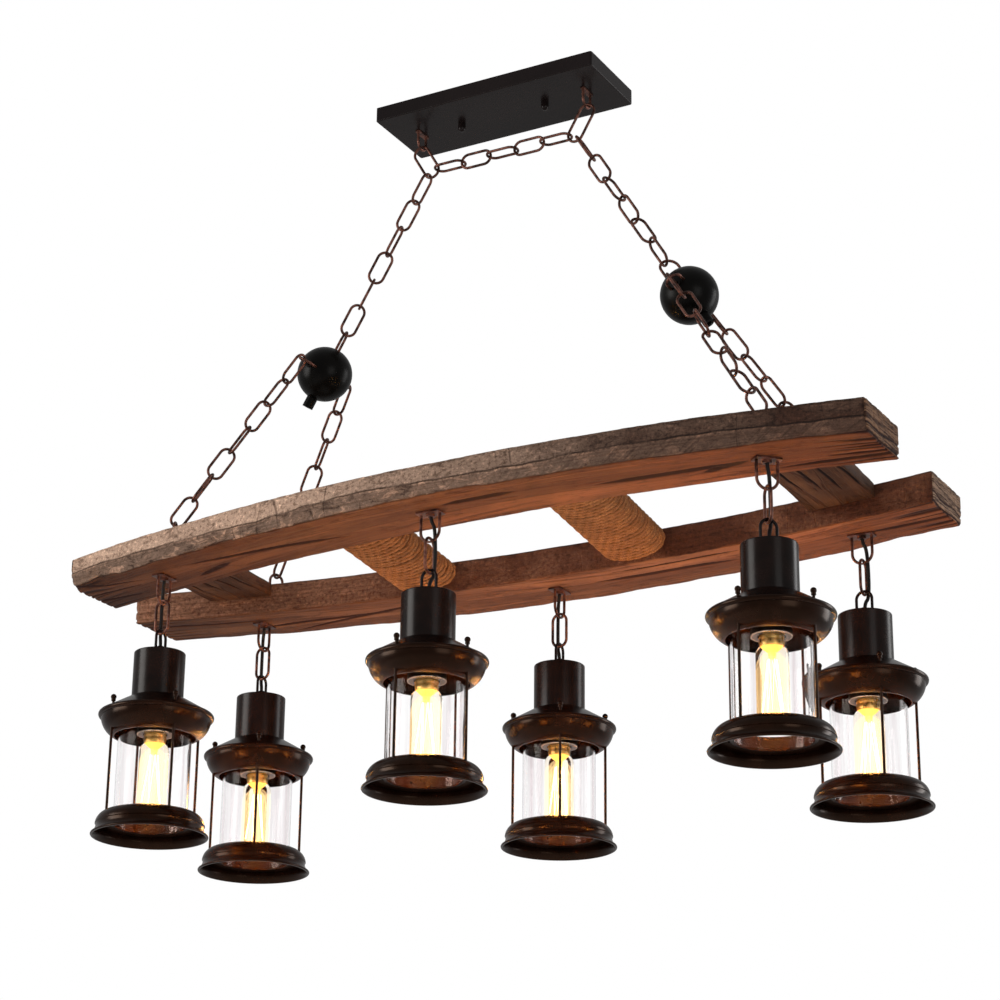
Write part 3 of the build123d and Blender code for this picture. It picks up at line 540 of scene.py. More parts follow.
def wood_finish(name, colours, painted_lit_end=-0.34, painted_shaded_end=0.46, painted_light_tint=(1.0, 0.95, 0.92)):
    """Old wood: planed and ruddy below, weathered outside, with splits, fibres and end grain, and painted
    light and shade.
    """
    material, start = new_material(name)
    wood = wood_chart(start)
    place = wood.across + (wood.blotch - 0.5) * 0.008 + (wood.scars - 0.5) * 0.008
    is_outer = place.between(MIDDLE_EDGE - EDGE_BLEND, MIDDLE_EDGE)
    is_inner = place.under(-MIDDLE_EDGE, EDGE_BLEND - MIDDLE_EDGE)
    is_end = wood.along > END_GRAIN / 2
    planed = (1 - is_outer) * (1 - is_inner) * (1 - is_end)
    upper = upper_band(wood, colours, painted_lit_end, painted_shaded_end)
    colour = is_outer.mix(planed_face(wood, colours), outer_face(wood, lower_band(wood, colours), upper))
    # Painted shadow along the lower outer edge, where the outer face meets the underside
    edge_shadow = abs(place - MIDDLE_EDGE + 0.0006).under(0.0006, 0.0026)
    colour = colour.shaded((0.42, 0.36, 0.32), edge_shadow * wood.scars.between(0.34, 0.5) * 0.8)
    colour = is_inner.mix(colour, inner_face(wood, colours, upper))
    colour = is_end.mix(colour, end_face(wood, colours))
    # Painted shadow in the splits, then the whole wood multiplied by a painted light tint
    colour = wood.split.between(0.0, 0.24).mix(colour, rgba(colours.crack_shadow)).shaded(painted_light_tint)
    rough = wood.saw * 0.4 + wood.crumble * 1.3 + wood.scars * 2.0 - wood.chops
    height = wood.fibres * 0.5 + wood.pores * 0.15 + rough * (1 - planed)
    height = height + wood.rings * is_end * 0.8 - wood.grain_lines * planed * 0.6
    surface(
        start,
        {
            "Base Color": colour,
            "Roughness": (wood.fibres - 0.5) * 0.2 - planed * 0.10 + 0.78,
            "Specular IOR Level": 0.16,
            "Normal": relief(start, height, 0.0012, 0.9),
        },
    )
    return material


def bar_finish(name, colours):
    """Wood of the bars under the rope."""
    material, start = new_material(name)
    grain = speckle(start, object_place(start), 1.0, 4.0, 0.6, (160.0, 12.0, 160.0))
    surface(
        start,
        {
            "Base Color": grain.mix(rgba(colours.underside_dark), rgba(colours.underside)),
            "Roughness": grain * 0.2 + 0.6,
            "Normal": relief(start, grain, 0.0004),
        },
    )
    return material


def jute_finish(name, colours):
    """Jute: fine fibres in soft patches, with painted shade in the grooves."""
    material, start = new_material(name)
    place = object_place(start)
    fibres = speckle(start, place, 900.0, 3.0, 0.6)
    patches = speckle(start, place, 70.0, 3.0)
    depth = painted(start, GROOVE_SHADE)
    light = [c * share for c, share in zip(colours.rope, (1.9, 2.1, 2.2))]
    # Colour of the painted shade in the grooves
    dark = [c * 0.10 for c in colours.rope]
    colour = patches.between(0.3, 0.7).mix(rgba(colours.rope), rgba(light))
    colour = (fibres.between(0.35, 0.62) * 0.55).mix(rgba([c * 0.55 for c in colours.rope]), colour)
    # Painted shade in the grooves between and under the turns
    colour = depth.mix(colour, rgba(dark))
    surface(
        start,
        {
            "Base Color": colour,
            "Roughness": 0.86,
            "Specular IOR Level": 0.2,
            "Normal": relief(start, fibres, 0.0006, 0.9),
        },
    )
    return material


def let_light_out(start, body, tint):
    """End a material in a shader that the lamp's own light passes."""
    clear = start.make("ShaderNodeBsdfTransparent", None, {"Color": rgba(tint)})
    through = rays(start, "Is Shadow Ray", "Is Diffuse Ray")
    mixed = start.make("ShaderNodeMixShader", None, {0: through, 1: body, 2: clear})
    start.make("ShaderNodeOutputMaterial", None, {"Surface": mixed})


def glass_finish(name, tint, streak):
    """Clear glass with faint upright streaks, which lets the lamp's light out."""
    material, start = new_material(name)
    smear = speckle(start, object_place(start), 1.0, 3.0, 0.6, (95.0, 95.0, 3.0))
    body = start.make(
        "ShaderNodeBsdfPrincipled",
        None,
        {
            "Base Color": smear.between(0.46, 0.66).mix(rgba(tint), rgba(streak)),
            "Roughness": smear.between(0.4, 0.9) * 0.05,
            "IOR": 1.14,
            "Transmission Weight": 1.0,
        },
    )
    let_light_out(start, body, tint)
    return material


def halo_finish(name, rim, core, strength):
    """Glare round the filament: thin and amber outside, dense and pale at the heart."""
    material, start = new_material(name)
    heat = painted(start, HEAT)
    flicker = speckle(start, object_place(start), 1.0, 2.0, 0.5, (420.0, 420.0, 14.0))
    body = start.make(
        "ShaderNodeBsdfPrincipled",
        None,
        {
            "Base Color": (0, 0, 0, 1),
            "Roughness": 1.0,
            "Specular IOR Level": 0.0,
            "Emission Color": heat.mix(rgba(rim), rgba(core)),
            "Emission Strength": strength,
            "Alpha": heat * 0.26 + flicker.between(0.35, 0.65) * 0.16 + 0.04,
        },
    )
    let_light_out(start, body, (1.0, 1.0, 1.0))
    return material


def glow_finish(name, colour, strength):
    """Glowing filament or stem, slightly uneven."""
    material, start = new_material(name)
    flicker = speckle(start, object_place(start), 260.0, 2.0)
    surface(
        start,
        {
            "Base Color": rgba(colour),
            "Roughness": 0.6,
            "Emission Color": flicker.mix(rgba(colour), rgba([min(1.0, c * 1.25) for c in colour])),
            "Emission Strength": strength,
        },
    )
    return material


def dress(material, *names):
    """Give CAD nodes a finish."""
    for name in names:
        for slot in nodes[name].material_slots:
            slot.material = material


def place_piece(mesh, name, material, body=None):
    """Put a mesh in the scene as a smooth piece of the object."""
    for polygon in mesh.polygons:
        polygon.use_smooth = True
    piece = bpy.data.objects.new(name, mesh)
    bpy.context.scene.collection.objects.link(piece)
    mesh.materials.append(material)
    if body:
        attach(piece, body)
    return piece


def new_piece(bm, name, material, body):
    """Turn a bmesh into a piece of the object."""
    mesh = bpy.data.meshes.new(name)
    bm.to_mesh(mesh)
    bm.free()
    return place_piece(mesh, name, material, body)


def drift(x, y, z):
    """Smooth noise at a place, from -1 to 1."""
    return noise.noise(Vector((x, y, z)))


def clamped(value):
    """A value held between 0 and 1."""
    return max(0.0, min(1.0, value))


def half_gap(sizes, x):
    """Beam centre line to the middle plane, at x."""
    share = x / sizes.length
    chord = sizes.left_gap + (sizes.right_gap - sizes.left_gap) * (share + 0.5)
    bow = sizes.middle_gap - (sizes.left_gap + sizes.right_gap) / 2
    return chord + bow * (1 - 4 * share**2)


def half_width(sizes, x):
    """Half of a beam's width at x."""
    return (sizes.middle_width + (sizes.end_width - sizes.middle_width) * (2 * x / sizes.length) ** 2) / 2


def inner_edge(sizes, x):
    """Beam's inner face to the middle plane, at x."""
    return half_gap(sizes, x) - half_width(sizes, x)


def fine_block(cuts):
    """Unit cube cut into a fine grid along its three axes."""
    bm = bmesh.new()
    bmesh.ops.create_cube(bm, size=1.0)
    for axis in range(3):
        edges = [
            edge
            for edge in bm.edges
            if abs((edge.verts[0].co - edge.verts[1].co).normalized()[axis]) > 0.9
        ]
        bmesh.ops.subdivide_edges(bm, edges=edges, cuts=cuts[axis], use_grid_fill=True)
    bm.normal_update()
    return bm


def chart_grain(bm, length, width, height):
    """Unwrap a unit block so that the grain runs along X and the sides follow round from the underside."""
    layer = bm.loops.layers.uv.new(GRAIN)
    for face in bm.faces:
        normal = face.normal
        for loop in face.loops:
            x, y, z = loop.vert.co
            rise = (z + 0.5) * height
            if abs(normal.x) > 0.5:
                spot = (END_GRAIN + y * width, rise + (0.3 if x > 0 else 0.0))
            elif normal.z < -0.5:
                spot = (x * length, y * width)
            elif normal.z > 0.5:
                spot = (x * length, width * (1 - y) + height)
            elif normal.y > 0.5:
                spot = (x * length, width / 2 + rise)
            else:
                spot = (x * length, -width / 2 - rise)
            loop[layer].uv = spot


def rounded(point, extent, radius):
    """Move a point of a block onto the rounded block; also its way out and how many sides meet."""
    inner = Vector([max(-e + radius, min(e - radius, p)) for p, e in zip(point, extent)])
    away = point - inner
    sides = sum(1 for part in away if abs(part) > radius * 0.2)
    if away.length < 1e-9:
        return point, Vector((0, 0, 0)), 0
    return inner + away.normalized() * radius, away.normalized(), sides


def eaten(distance, reach):
    """1 at a worn end and 0 beyond its reach."""
    share = max(0.0, 1 - distance / reach)
    return share * share * (3 - 2 * share)


def split_depth(x, across, splits, seed):
    """Depth of a point in splits, each a start, an end, a place across, a slope and a half width."""
    deepest = 0.0
    for first, last, place, slope, reach in splits:
        if first < x < last:
            wander = 0.004 * drift(x * 11, place * 90, seed)
            away = abs(across - place - (x - first) * slope - wander)
            taper = min(1.0, 4 * min(x - first, last - x) / (last - first))
            deepest = max(deepest, taper - away / reach)
    return deepest


def shape_beam(bm, sizes, low, high, side, seed, splits):
    """Bow a fine block into a weathered beam, with splits, worn ends, a ledge and a wavy lower edge."""
    depth_layer = bm.verts.layers.float.new(SPLIT)
    ledge_layer = bm.verts.layers.float.new(LEDGE)
    half = Vector((sizes.length, sizes.middle_width, sizes.thickness)) / 2
    shift = (low.x + high.x) / 2
    for vert in bm.verts:
        block = Vector([2 * share * extent for share, extent in zip(vert.co, half)])
        point, out, sides = rounded(block, half, BEAM_ROUNDING)
        x, across, height = point.x, point.y, point.z + half.z
        depth = 0.0
        inward = 0.0006 * (drift(x * 11, across * 18, seed) + 1)
        if sides > 1:
            inward += CHIP_DEPTH * max(0.0, drift(x * 60, height * 90 + seed, across * 50))
        ripple = math.sin(across * 430 + 6 * drift(x * 7, across * 30, seed + 5))
        ridge = max(0.0, ripple - 0.5) * 2
        seam = sizes.bevel_height + 0.0040 * drift(x * 8, seed, 2.0) + 0.0018 * drift(x * 47, seed, 3.0)

        # Splits and worn grain below
        if out.z < -0.5:
            worn = eaten(half.x - abs(x), WORN_END)
            depth = max(split_depth(x, across, splits, seed), worn * ridge * 0.4)
            inward += SPLIT_DEPTH * depth

        # Ledge and gouges outside
        if out.y > 0.5:
            inward += LEDGE_STEP * clamped((height - seam) / 0.0020 + 0.5)
            inward += GOUGE_DEPTH * max(0.0, drift(x * 34, height * 55, seed + 7) - 0.05)

        # Parted layers at the ends
        if abs(out.x) > 0.5:
            layers = math.sin(height * 650 + across * 25 + 3 * drift(across * 22, height * 30, seed))
            depth = max(0.0, layers - 0.30) * 0.55 * clamped(1.4 - height / EDGE_HEIGHT)
            inward += LAYER_DEPTH * depth + 0.0006 * ridge
        vert[depth_layer] = depth
        vert[ledge_layer] = height - seam

        # Wavy lower edge, calmer on the rear beam and at the right of the front one
        calm = 0.35 if side > 0 else 1.0 - 0.7 * clamped((x - 0.02) / 0.18)
        wave = max(0.0, drift(x * 13, seed, 0.0) + 0.12) + 0.45 * max(0.0, drift(x * 41, seed, 4.0))
        corner = max(0.0, 1 - height / EDGE_HEIGHT) * max(0.0, 1 - (half.y - across) / 0.016)
        bevel = (sizes.bevel_depth + 0.006 * wave * calm) * max(0.0, 1 - height / sizes.bevel_height)
        outer = clamped(vert.co.y * 2)
        point = point - out * inward
        place = point.x + shift
        across = point.y * half_width(sizes, place) / half.y - bevel * outer
        rise = point.z + half.z + 0.009 * wave * calm * corner
        vert.co = Vector((place, side * (half_gap(sizes, place) + across), low.z + rise))


FRONT_SPLITS = [
    (0.188, 0.369, -0.0045, 0.031, 0.0056),
    (0.307, 0.368, -0.0179, 0.27, 0.0054),
    (0.020, 0.120, 0.0120, 0.03, 0.0058),
    (-0.340, -0.100, 0.0170, -0.144, 0.0042),
    (-0.340, -0.274, -0.0263, 0.27, 0.0052),
    (-0.600, -0.388, 0.0800, -0.36, 0.0026),
    (-0.600, -0.416, -0.0035, -0.116, 0.0028),
    (-0.600, -0.400, 0.0180, -0.10, 0.0024),
    (0.370, 0.600, -0.0304, 0.052, 0.0048),
    (0.425, 0.600, -0.0120, 0.010, 0.0034),
    (0.445, 0.600, 0.0060, 0.0, 0.0030),
    (0.455, 0.600, 0.0240, -0.05, 0.0030),
]
REAR_SPLITS = [
    (0.056, 0.256, -0.0082, 0.021, 0.0048),
    (0.090, 0.270, -0.0300, 0.020, 0.0024),
    (-0.379, -0.202, 0.0116, -0.101, 0.0046),
    (-0.355, -0.081, 0.0371, -0.282, 0.0040),
    (-0.600, -0.330, -0.0312, 0.060, 0.0028),
    (0.378, 0.600, -0.0019, 0.050, 0.0046),
    (0.430, 0.600, -0.0220, 0.020, 0.0032),
    (0.440, 0.600, 0.0260, -0.050, 0.0030),
]


class PENDANT_OT_beams(bpy.types.Operator):
    """Build the two weathered beams"""

    bl_idname = "pendant.beams"
    bl_label = "Beams"

    def execute(self, context):
        sizes = context.scene.pendant_beams
        colours = context.scene.pendant_colours
        front_finish = wood_finish("old_wood_front", colours)
        # The rear beam's wood is a lighter copy, tinted by painted light
        rear_finish = wood_finish("old_wood_rear", colours, -0.9, 0.1, (1.40, 1.54, 1.70))
        woods = (
            ("front", -1, 3.7, FRONT_SPLITS, front_finish),
            ("rear", 1, 9.2, REAR_SPLITS, rear_finish),
        )
        for name, side, seed, splits, finish in woods:
            low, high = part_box(f"{name}_beam")
            bm = fine_block(BEAM_CUTS)
            chart_grain(bm, sizes.length, MIDDLE_EDGE * 2, sizes.thickness)
            shape_beam(bm, sizes, low, high, side, seed, splits)
            if side < 0:
                bmesh.ops.reverse_faces(bm, faces=bm.faces)
            piece = new_piece(bm, f"{name}_beam_wood", finish, "frame")
            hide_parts(f"{name}_beam")
        return {"FINISHED"}


def shape_rail(bm, sizes, side, top):
    """Fit a fine block between the beams as a cross rail, with saw cuts below."""
    kerfs = []
    for step in range(KERF_COUNT):
        first = 0.012 * step - 0.13
        kerfs.append((first, first + 0.165, 0.021 * step - 0.034, 0.06, 0.0018))
    half = Vector((sizes.rail_width / 2, 0.5, sizes.rail_thickness / 2))
    depth_layer = bm.verts.layers.float.new(SPLIT)
    layer = bm.loops.layers.uv.new(GRAIN)
    for face in bm.faces:
        for loop in face.loops:
            x, y, z = loop.vert.co
            loop[layer].uv = (y * RAIL_GRAIN, x * sizes.rail_width + z * sizes.rail_thickness)
    for vert in bm.verts:
        block = Vector((vert.co.x * 2 * half.x, vert.co.y, vert.co.z * 2 * half.z))
        point, out, _ = rounded(block, half, RAIL_ROUNDING)
        wear = drift(point.x * 40, vert.co.y * 9, side * 7.1)
        depth = split_depth(vert.co.y * RAIL_GRAIN, point.x, kerfs, side) if out.z < -0.5 else 0.0
        vert[depth_layer] = depth
        point = point - out * (0.0005 * (1 + wear) + SPLIT_DEPTH * depth)
        place = side * sizes.rail_place + point.x
        y = 2 * vert.co.y * (inner_edge(sizes, place) - RAIL_PLAY)
        vert.co = Vector((place - y * math.tan(sizes.rail_skew), y, top - half.z + point.z))


class PENDANT_OT_rails(bpy.types.Operator):
    """Build the two cross rails, and finish the bars under the rope"""

    bl_idname = "pendant.rails"
    bl_label = "Cross rails"

    def execute(self, context):
        sizes = context.scene.pendant_beams
        colours = context.scene.pendant_colours
        # The rails' wood is a darker copy, tinted by painted shade
        finish = wood_finish("old_wood_rails", colours, -0.9, 0.2, (0.56, 0.64, 0.72))
        dress(bar_finish("rope_bar_wood", colours), "rope_bars")
        _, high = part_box("cross_rails")
        for name, side in (("left", -1), ("right", 1)):
            bm = fine_block(RAIL_CUTS)
            shape_rail(bm, sizes, side, high.z)
            piece = new_piece(bm, f"{name}_rail_wood", finish, "frame")
            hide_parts("cross_rails")
        return {"FINISHED"}


def new_curve(name):
    """An empty curve in space."""
    curve = bpy.data.curves.new(name, "CURVE")
    curve.dimensions = "3D"
    return curve


def add_spline(curve, kind, places):
    """Add a spline with points at these places to a curve."""
    spline = curve.splines.new(kind)
    spline.points.add(len(places) - 1)
    for point, place in zip(spline.points, places):
        point.co = (*place, 1.0)
    return spline


def line_through(name, controls, resolution):
    """Points of the smooth NURBS line that control points give."""
    curve = new_curve(f"{name}_line")
    curve.resolution_u = resolution
    spline = add_spline(curve, "NURBS", controls)
    spline.order_u = 3
    spline.use_endpoint_u = True
    mesh = curve_mesh(name, curve)
    points = [vert.co.copy() for vert in mesh.vertices]
    bpy.data.meshes.remove(mesh)
    return points


def tubes_along(name, lines, radius, sides):
    """Mesh of round tubes that follow lines of points."""
    curve = new_curve(f"{name}_tubes")
    curve.bevel_depth = radius
    curve.bevel_resolution = sides // 2 - 2
    curve.use_fill_caps = True
    for line in lines:
        add_spline(curve, "POLY", line)
    mesh = curve_mesh(name, curve)
    mesh.materials.clear()
    return mesh


def curve_mesh(name, curve):
    """Mesh of a curve, which is then removed."""
    carrier = bpy.data.objects.new(f"{name}_carrier", curve)
    bpy.context.scene.collection.objects.link(carrier)
    bpy.context.view_layer.update()
    mesh = bpy.data.meshes.new_from_object(carrier.evaluated_get(bpy.context.evaluated_depsgraph_get()))
    bpy.data.objects.remove(carrier)
    bpy.data.curves.remove(curve)
    return mesh


def winding_route(sizes, rope, place, turns, level):
    """Control points of rope wound round a bar, sixteen to a turn, from beam to beam."""
    radius = (rope.bar_thickness + rope.diameter) / 2
    run = (rope.bar_width - rope.bar_thickness) / 2
    corner = radius / math.cos(math.pi / 8)
    inset = corner * math.sin(math.pi / 8)
    turn = [Vector((run / 3, radius + rope.swell)), Vector((run - inset, radius + rope.swell / 2))]
    for step in (3, 1, -1, -3):
        angle = step * math.pi / 8
        turn.append(Vector((run + corner * math.cos(angle), corner * math.sin(angle))))
    turn += [Vector((run - inset, -radius - rope.swell / 2)), Vector((run / 3, -radius - rope.swell))]
    turn += [-spot for spot in turn]
    route = []
    for index in range(turns * len(turn)):
        spot = turn[index % len(turn)]
        share = index / (turns * len(turn) - 1)
        loose = drift(index / len(turn) * 0.9, place * 30, spot.x * 14)
        reach = inner_edge(sizes, place + spot.x) - rope.diameter / 2
        y = reach * (2 * share - 1) + loose * rope.looseness * min(1.0, 8 * share, 8 - 8 * share)
        lift = 1 + 0.03 * drift(index / len(turn) * 1.7, place * 30, 5.0)
        route.append(Vector((place + spot.x - y * math.tan(rope.bar_skew), y, level + spot.y * lift)))
    return route


def way_out(rope, place, level, point):
    """Direction from a bar's core to a point round it."""
    run = (rope.bar_width - rope.bar_thickness) / 2
    x = point.x + point.y * math.tan(rope.bar_skew) - place
    return Vector((x - max(-run, min(run, x)), 0, point.z - level)).normalized()


def twisted_strands(rope, middle, place, level):
    """Three strands twisted round a rope's middle line, and the way sideways at each of its points."""
    strands = [[], [], []]
    sideways = []
    travelled = 0.0
    for index, point in enumerate(middle):
        before = middle[max(0, index - 1)]
        after = middle[min(len(middle) - 1, index + 1)]
        travelled += (point - before).length
        out = way_out(rope, place, level, point)
        aside = (after - before).normalized().cross(out)
        sideways.append(aside)
        for number, strand in enumerate(strands):
            twist = 2 * math.pi * (travelled / rope.lay + number / len(strands))
            offset = out * math.cos(twist) + aside * math.sin(twist)
            strand.append(point + offset * rope.diameter * STRAND_OFFSET)
    return strands, sideways


def mark_groove_shade(mesh, rope, middle, sideways, place, level):
    """Write on the strands' mesh how deep each point lies in the winding's grooves, as a mask of painted
    shade.
    """
    near = kdtree.KDTree(len(middle))
    for index, point in enumerate(middle):
        near.insert(point, index)
    near.balance()
    groove_shade = mesh.attributes.new(GROOVE_SHADE, "FLOAT", "POINT")
    for vert in mesh.vertices:
        point, index, _ = near.find(vert.co)
        rise = (vert.co - point).dot(way_out(rope, place, level, vert.co)) / rope.diameter
        astray = abs((vert.co - point).dot(sideways[index])) / rope.diameter
        groove_shade.data[vert.index].value = clamped(max(0.30 - rise, (astray - 0.20) * 3.2))


class PENDANT_OT_rope(bpy.types.Operator):
    """Wind twisted jute rope round both bars"""

    bl_idname = "pendant.rope"
    bl_label = "Rope windings"

    def execute(self, context):
        sizes = context.scene.pendant_beams
        rope = context.scene.pendant_rope
        finish = jute_finish("jute", context.scene.pendant_colours)
        low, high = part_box("rope_bars")
        level = (low.z + high.z) / 2
        for name, side in (("left", -1), ("right", 1)):
            place = side * rope.bar_place
            turns = round((2 * inner_edge(sizes, place) - rope.diameter) / (rope.diameter * rope.spacing))
            middle = line_through(f"{name}_rope", winding_route(sizes, rope, place, turns, level), 8)
            strands, sideways = twisted_strands(rope, middle, place, level)
            mesh = tubes_along(f"{name}_rope", strands, rope.diameter * STRAND_RADIUS, 8)
            mark_groove_shade(mesh, rope, middle, sideways, place, level)
            piece = place_piece(mesh, f"{name}_rope_winding", finish, "frame")
            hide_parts("rope_windings")
        return {"FINISHED"}


class PENDANT_OT_metalwork(bpy.types.Operator):
    """Finish the canopy, chains, balls, hooks and eyes"""

    bl_idname = "pendant.metalwork"
    bl_label = "Metalwork"

    def execute(self, context):
        colours = context.scene.pendant_colours
        black = (0.0055, 0.0035, 0.0035)
        gloss = metal_finish("gloss_black", black, (0.008, 0.005, 0.005), 0.26, 0.0, 9.0, shine=0.12)
        jet = (0.001, 0.0007, 0.0005)
        coal = (0.002, 0.0015, 0.001)
        satin = metal_finish("satin_black", jet, coal, 0.32, 0.0, 40.0, shine=0.08, tooth=0.1)
        dark = [c * 0.18 for c in colours.copper]
        copper = metal_finish("antique_copper", dark, colours.copper, 0.40, 0.7, 120.0, (0.36, 0.64), 0.3)
        zinc = metal_finish("zinc", (0.45, 0.45, 0.46), (0.62, 0.62, 0.63), 0.38, 1.0, 90.0)
        dress(gloss, "canopy_cover", "canopy_cap_nuts")
        dress(satin, "junction_balls")
        dress(copper, "tie_chain", "upper_chains", "lower_chains", "ball_eyes", "beam_eyes", "canopy_hooks")
        dress(copper, "lantern_staples", *[f"{name}_link" for name in LANTERNS])
        dress(zinc, "ceiling_bracket")
        dress(plain_finish("white_plastic", (0.78, 0.78, 0.75), 0.45, 300.0), "terminal_block")
        return {"FINISHED"}


def spun(profiles, steps, centre):
    """Bodies of revolution of profiles of radii and heights, round an upright line through centre."""
    bm = bmesh.new()
    heat_layer = bm.verts.layers.float.new(HEAT)
    outline = []
    for number, profile in enumerate(profiles):
        verts = [bm.verts.new((centre.x + radius, centre.y, height)) for radius, height in profile]
        for vert in verts:
            vert[heat_layer] = number / max(1, len(profiles) - 1)
        outline += verts + [bm.edges.new(pair) for pair in zip(verts, verts[1:])]
    bmesh.ops.spin(
        bm,
        geom=outline,
        cent=(centre.x, centre.y, 0),
        axis=(0, 0, 1),
        angle=2 * math.pi,
        steps=steps,
        use_merge=True,
    )
    bmesh.ops.remove_doubles(bm, verts=bm.verts, dist=1e-6)
    bmesh.ops.recalc_face_normals(bm, faces=bm.faces)
    return bm


def envelope_profile(radius, foot, tube, neck):
    """Bulb's glass: a round-ended tube that narrows to its neck."""
    angles = [step * math.pi / 20 for step in range(11)]
    dome = [(radius * math.sin(angle), foot + radius * (1 - math.cos(angle))) for angle in angles]
    return dome + [(radius, tube), (radius * 0.93, tube + 0.004), (0.0120, neck - 0.001), (0.0112, neck)]


def thread_profile(neck, top):
    """Bulb's screw base with its foot contact."""
    profile = [(0.0118, neck - 0.002), (0.0126, neck + 0.004)]
    rise = top - 0.0065 - neck - 0.006
    for step in range(THREAD_STEPS + 1):
        profile.append((0.0129 if step % 2 else 0.0120, neck + 0.006 + rise * step / THREAD_STEPS))
    return profile + [(0.0095, top - 0.004), (0.0050, top - 0.0025), (0.0046, top), (0.0, top)]


def glare_profiles(foot, tube):
    """Three nested shells of glare round the filament."""
    shells = []
    for inset, trim in ((1.0, 0.0), (0.68, 0.003), (0.40, 0.006)):
        bowl = [(0.0, foot + 0.007 + trim), (0.0105 * inset, foot + 0.008 + trim)]
        wall = [(0.0150 * inset, foot + 0.014 + trim), (0.0152 * inset, tube - 0.014)]
        crown = [(0.0125 * inset, tube - 0.006), (0.0070 * inset, tube - trim)]
        shells.append(bowl + wall + crown + [(0.0, tube + 0.001 - trim)])
    return shells


def stem_profile(tube, neck):
    """Glass stem that holds the filament."""
    foot = [(0.0, tube - 0.006), (0.0030, tube - 0.005), (0.0036, tube + 0.001)]
    return foot + [(0.0095, neck - 0.0025), (0.0098, neck - 0.001), (0.0, neck - 0.0005)]


def rim_profile(mouth):
    """Round lip of a lampholder's mouth."""
    angles = [step * math.pi / 4 for step in range(9)]
    middle = mouth + 0.0006
    return [
        (RIM_RADIUS + RIM_WIRE * math.cos(angle), middle + RIM_WIRE * math.sin(angle))
        for angle in angles
    ]


def filament_line(centre, foot, tube):
    """Filament's zigzag round the stem."""
    line = []
    for leg in range(FILAMENT_LEGS + 1):
        angle = leg * 2 * math.pi / FILAMENT_LEGS
        reach = 0.0040 if leg % 2 else 0.0095
        height = tube - 0.006 if leg % 2 else foot + 0.018
        line.append(centre + Vector((reach * math.cos(angle), reach * math.sin(angle), height)))
    return line


def lantern_finishes(colours):
    """Finishes of a lantern's metal, glass, holder and bulb."""
    dark = colours.bronze
    light = [c * 2.2 for c in dark]
    # Ruddy tint of reflections, a painted sheen of the lamps' warm glow
    ruddy = (1.0, 0.62, 0.42)
    return SimpleNamespace(
        bronze=metal_finish("dark_bronze", dark, light, 0.25, 0.0, 45.0, shine=0.14, tooth=0.12),
        # Dish and cage metal whose reflections are tinted ruddy: painted sheen of the lamps' glow
        glow_tinted=metal_finish("bronze_painted_glow_sheen", dark, light, 0.22, 0.0, 45.0, shine=0.16, tooth=0.12, tint=ruddy),
        holder=plain_finish("holder_black", (0.006, 0.0035, 0.0025), 0.42, 400.0),
        # Pale metal of the holder's rim: a real lip whose pale colour is a painted edge highlight
        pale=metal_finish("holder_rim", (0.40, 0.34, 0.28), (0.62, 0.55, 0.47), 0.28, 0.9, 160.0),
        glass=glass_finish("clear_glass", (0.99, 0.985, 0.985), (0.86, 0.81, 0.82)),
        envelope=glass_finish("bulb_glass", (1.0, 0.94, 0.82), (1.0, 0.86, 0.62)),
        brass=metal_finish("bulb_brass", (0.60, 0.34, 0.08), (0.85, 0.55, 0.18), 0.30, 1.0, 200.0),
        hot=glow_finish("hot_filament", colours.glow, 850.0),
        amber=glow_finish("amber_stem", (1.0, 0.50, 0.09), 1.3),
        halo=halo_finish("lamp_glare", (1.0, 0.70, 0.34), (1.0, 0.95, 0.80), 3.0),
    )


def build_bulb(name, look):
    """Build a lantern's bulb and filament, and the rim of its holder, whose pale colour is a painted edge
    highlight.
    """
    low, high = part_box(f"{name}_bulb")
    centre = Vector(((low.x + high.x) / 2, (low.y + high.y) / 2, 0))
    foot, top = low.z, high.z
    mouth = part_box(f"{name}_lampholder")[0].z
    neck = mouth - BULB_NECK
    tube = neck - BULB_SHOULDER
    outline = envelope_profile((high.x - low.x) / 2, foot, tube, neck)
    parts = (
        ("bulb_glass", [outline], 40, look.envelope, "bulb_glass"),
        ("bulb_base", [thread_profile(neck, top)], 32, look.brass, "bulb_glass"),
        ("bulb_glare", glare_profiles(foot, tube), 32, look.halo, "bulb_glass"),
        ("bulb_stem", [stem_profile(tube, neck)], 24, look.amber, "bulb_glass"),
        # Holder's rim, pale as a painted edge highlight
        ("holder_rim", [rim_profile(mouth)], 48, look.pale, "holder_plastic"),
    )
    for part, profiles, steps, finish, slot_name in parts:
        bm = spun(profiles, steps, centre)
        piece = new_piece(bm, f"{name}_{part}", finish, f"{name}_lantern")
        if part != "holder_rim":
            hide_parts(f"{name}_bulb")
    mesh = tubes_along(f"{name}_filament", [filament_line(centre, foot, tube)], FILAMENT_RADIUS, 6)
    piece = place_piece(mesh, f"{name}_filament", look.hot, f"{name}_lantern")
    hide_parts(f"{name}_bulb")


class PENDANT_OT_lanterns(bpy.types.Operator):
    """Finish the lanterns and build their bulbs"""

    bl_idname = "pendant.lanterns"
    bl_label = "Lanterns and bulbs"

    def execute(self, context):
        look = lantern_finishes(context.scene.pendant_colours)
        for name in LANTERNS:
            dress(look.bronze, f"{name}_cap")
            # Dish and cage get the painted glow sheen
            dress(look.glow_tinted, f"{name}_dish", f"{name}_cage")
            dress(look.glass, f"{name}_glass")
            dress(look.holder, f"{name}_lampholder")
            build_bulb(name, look)
        return {"FINISHED"}


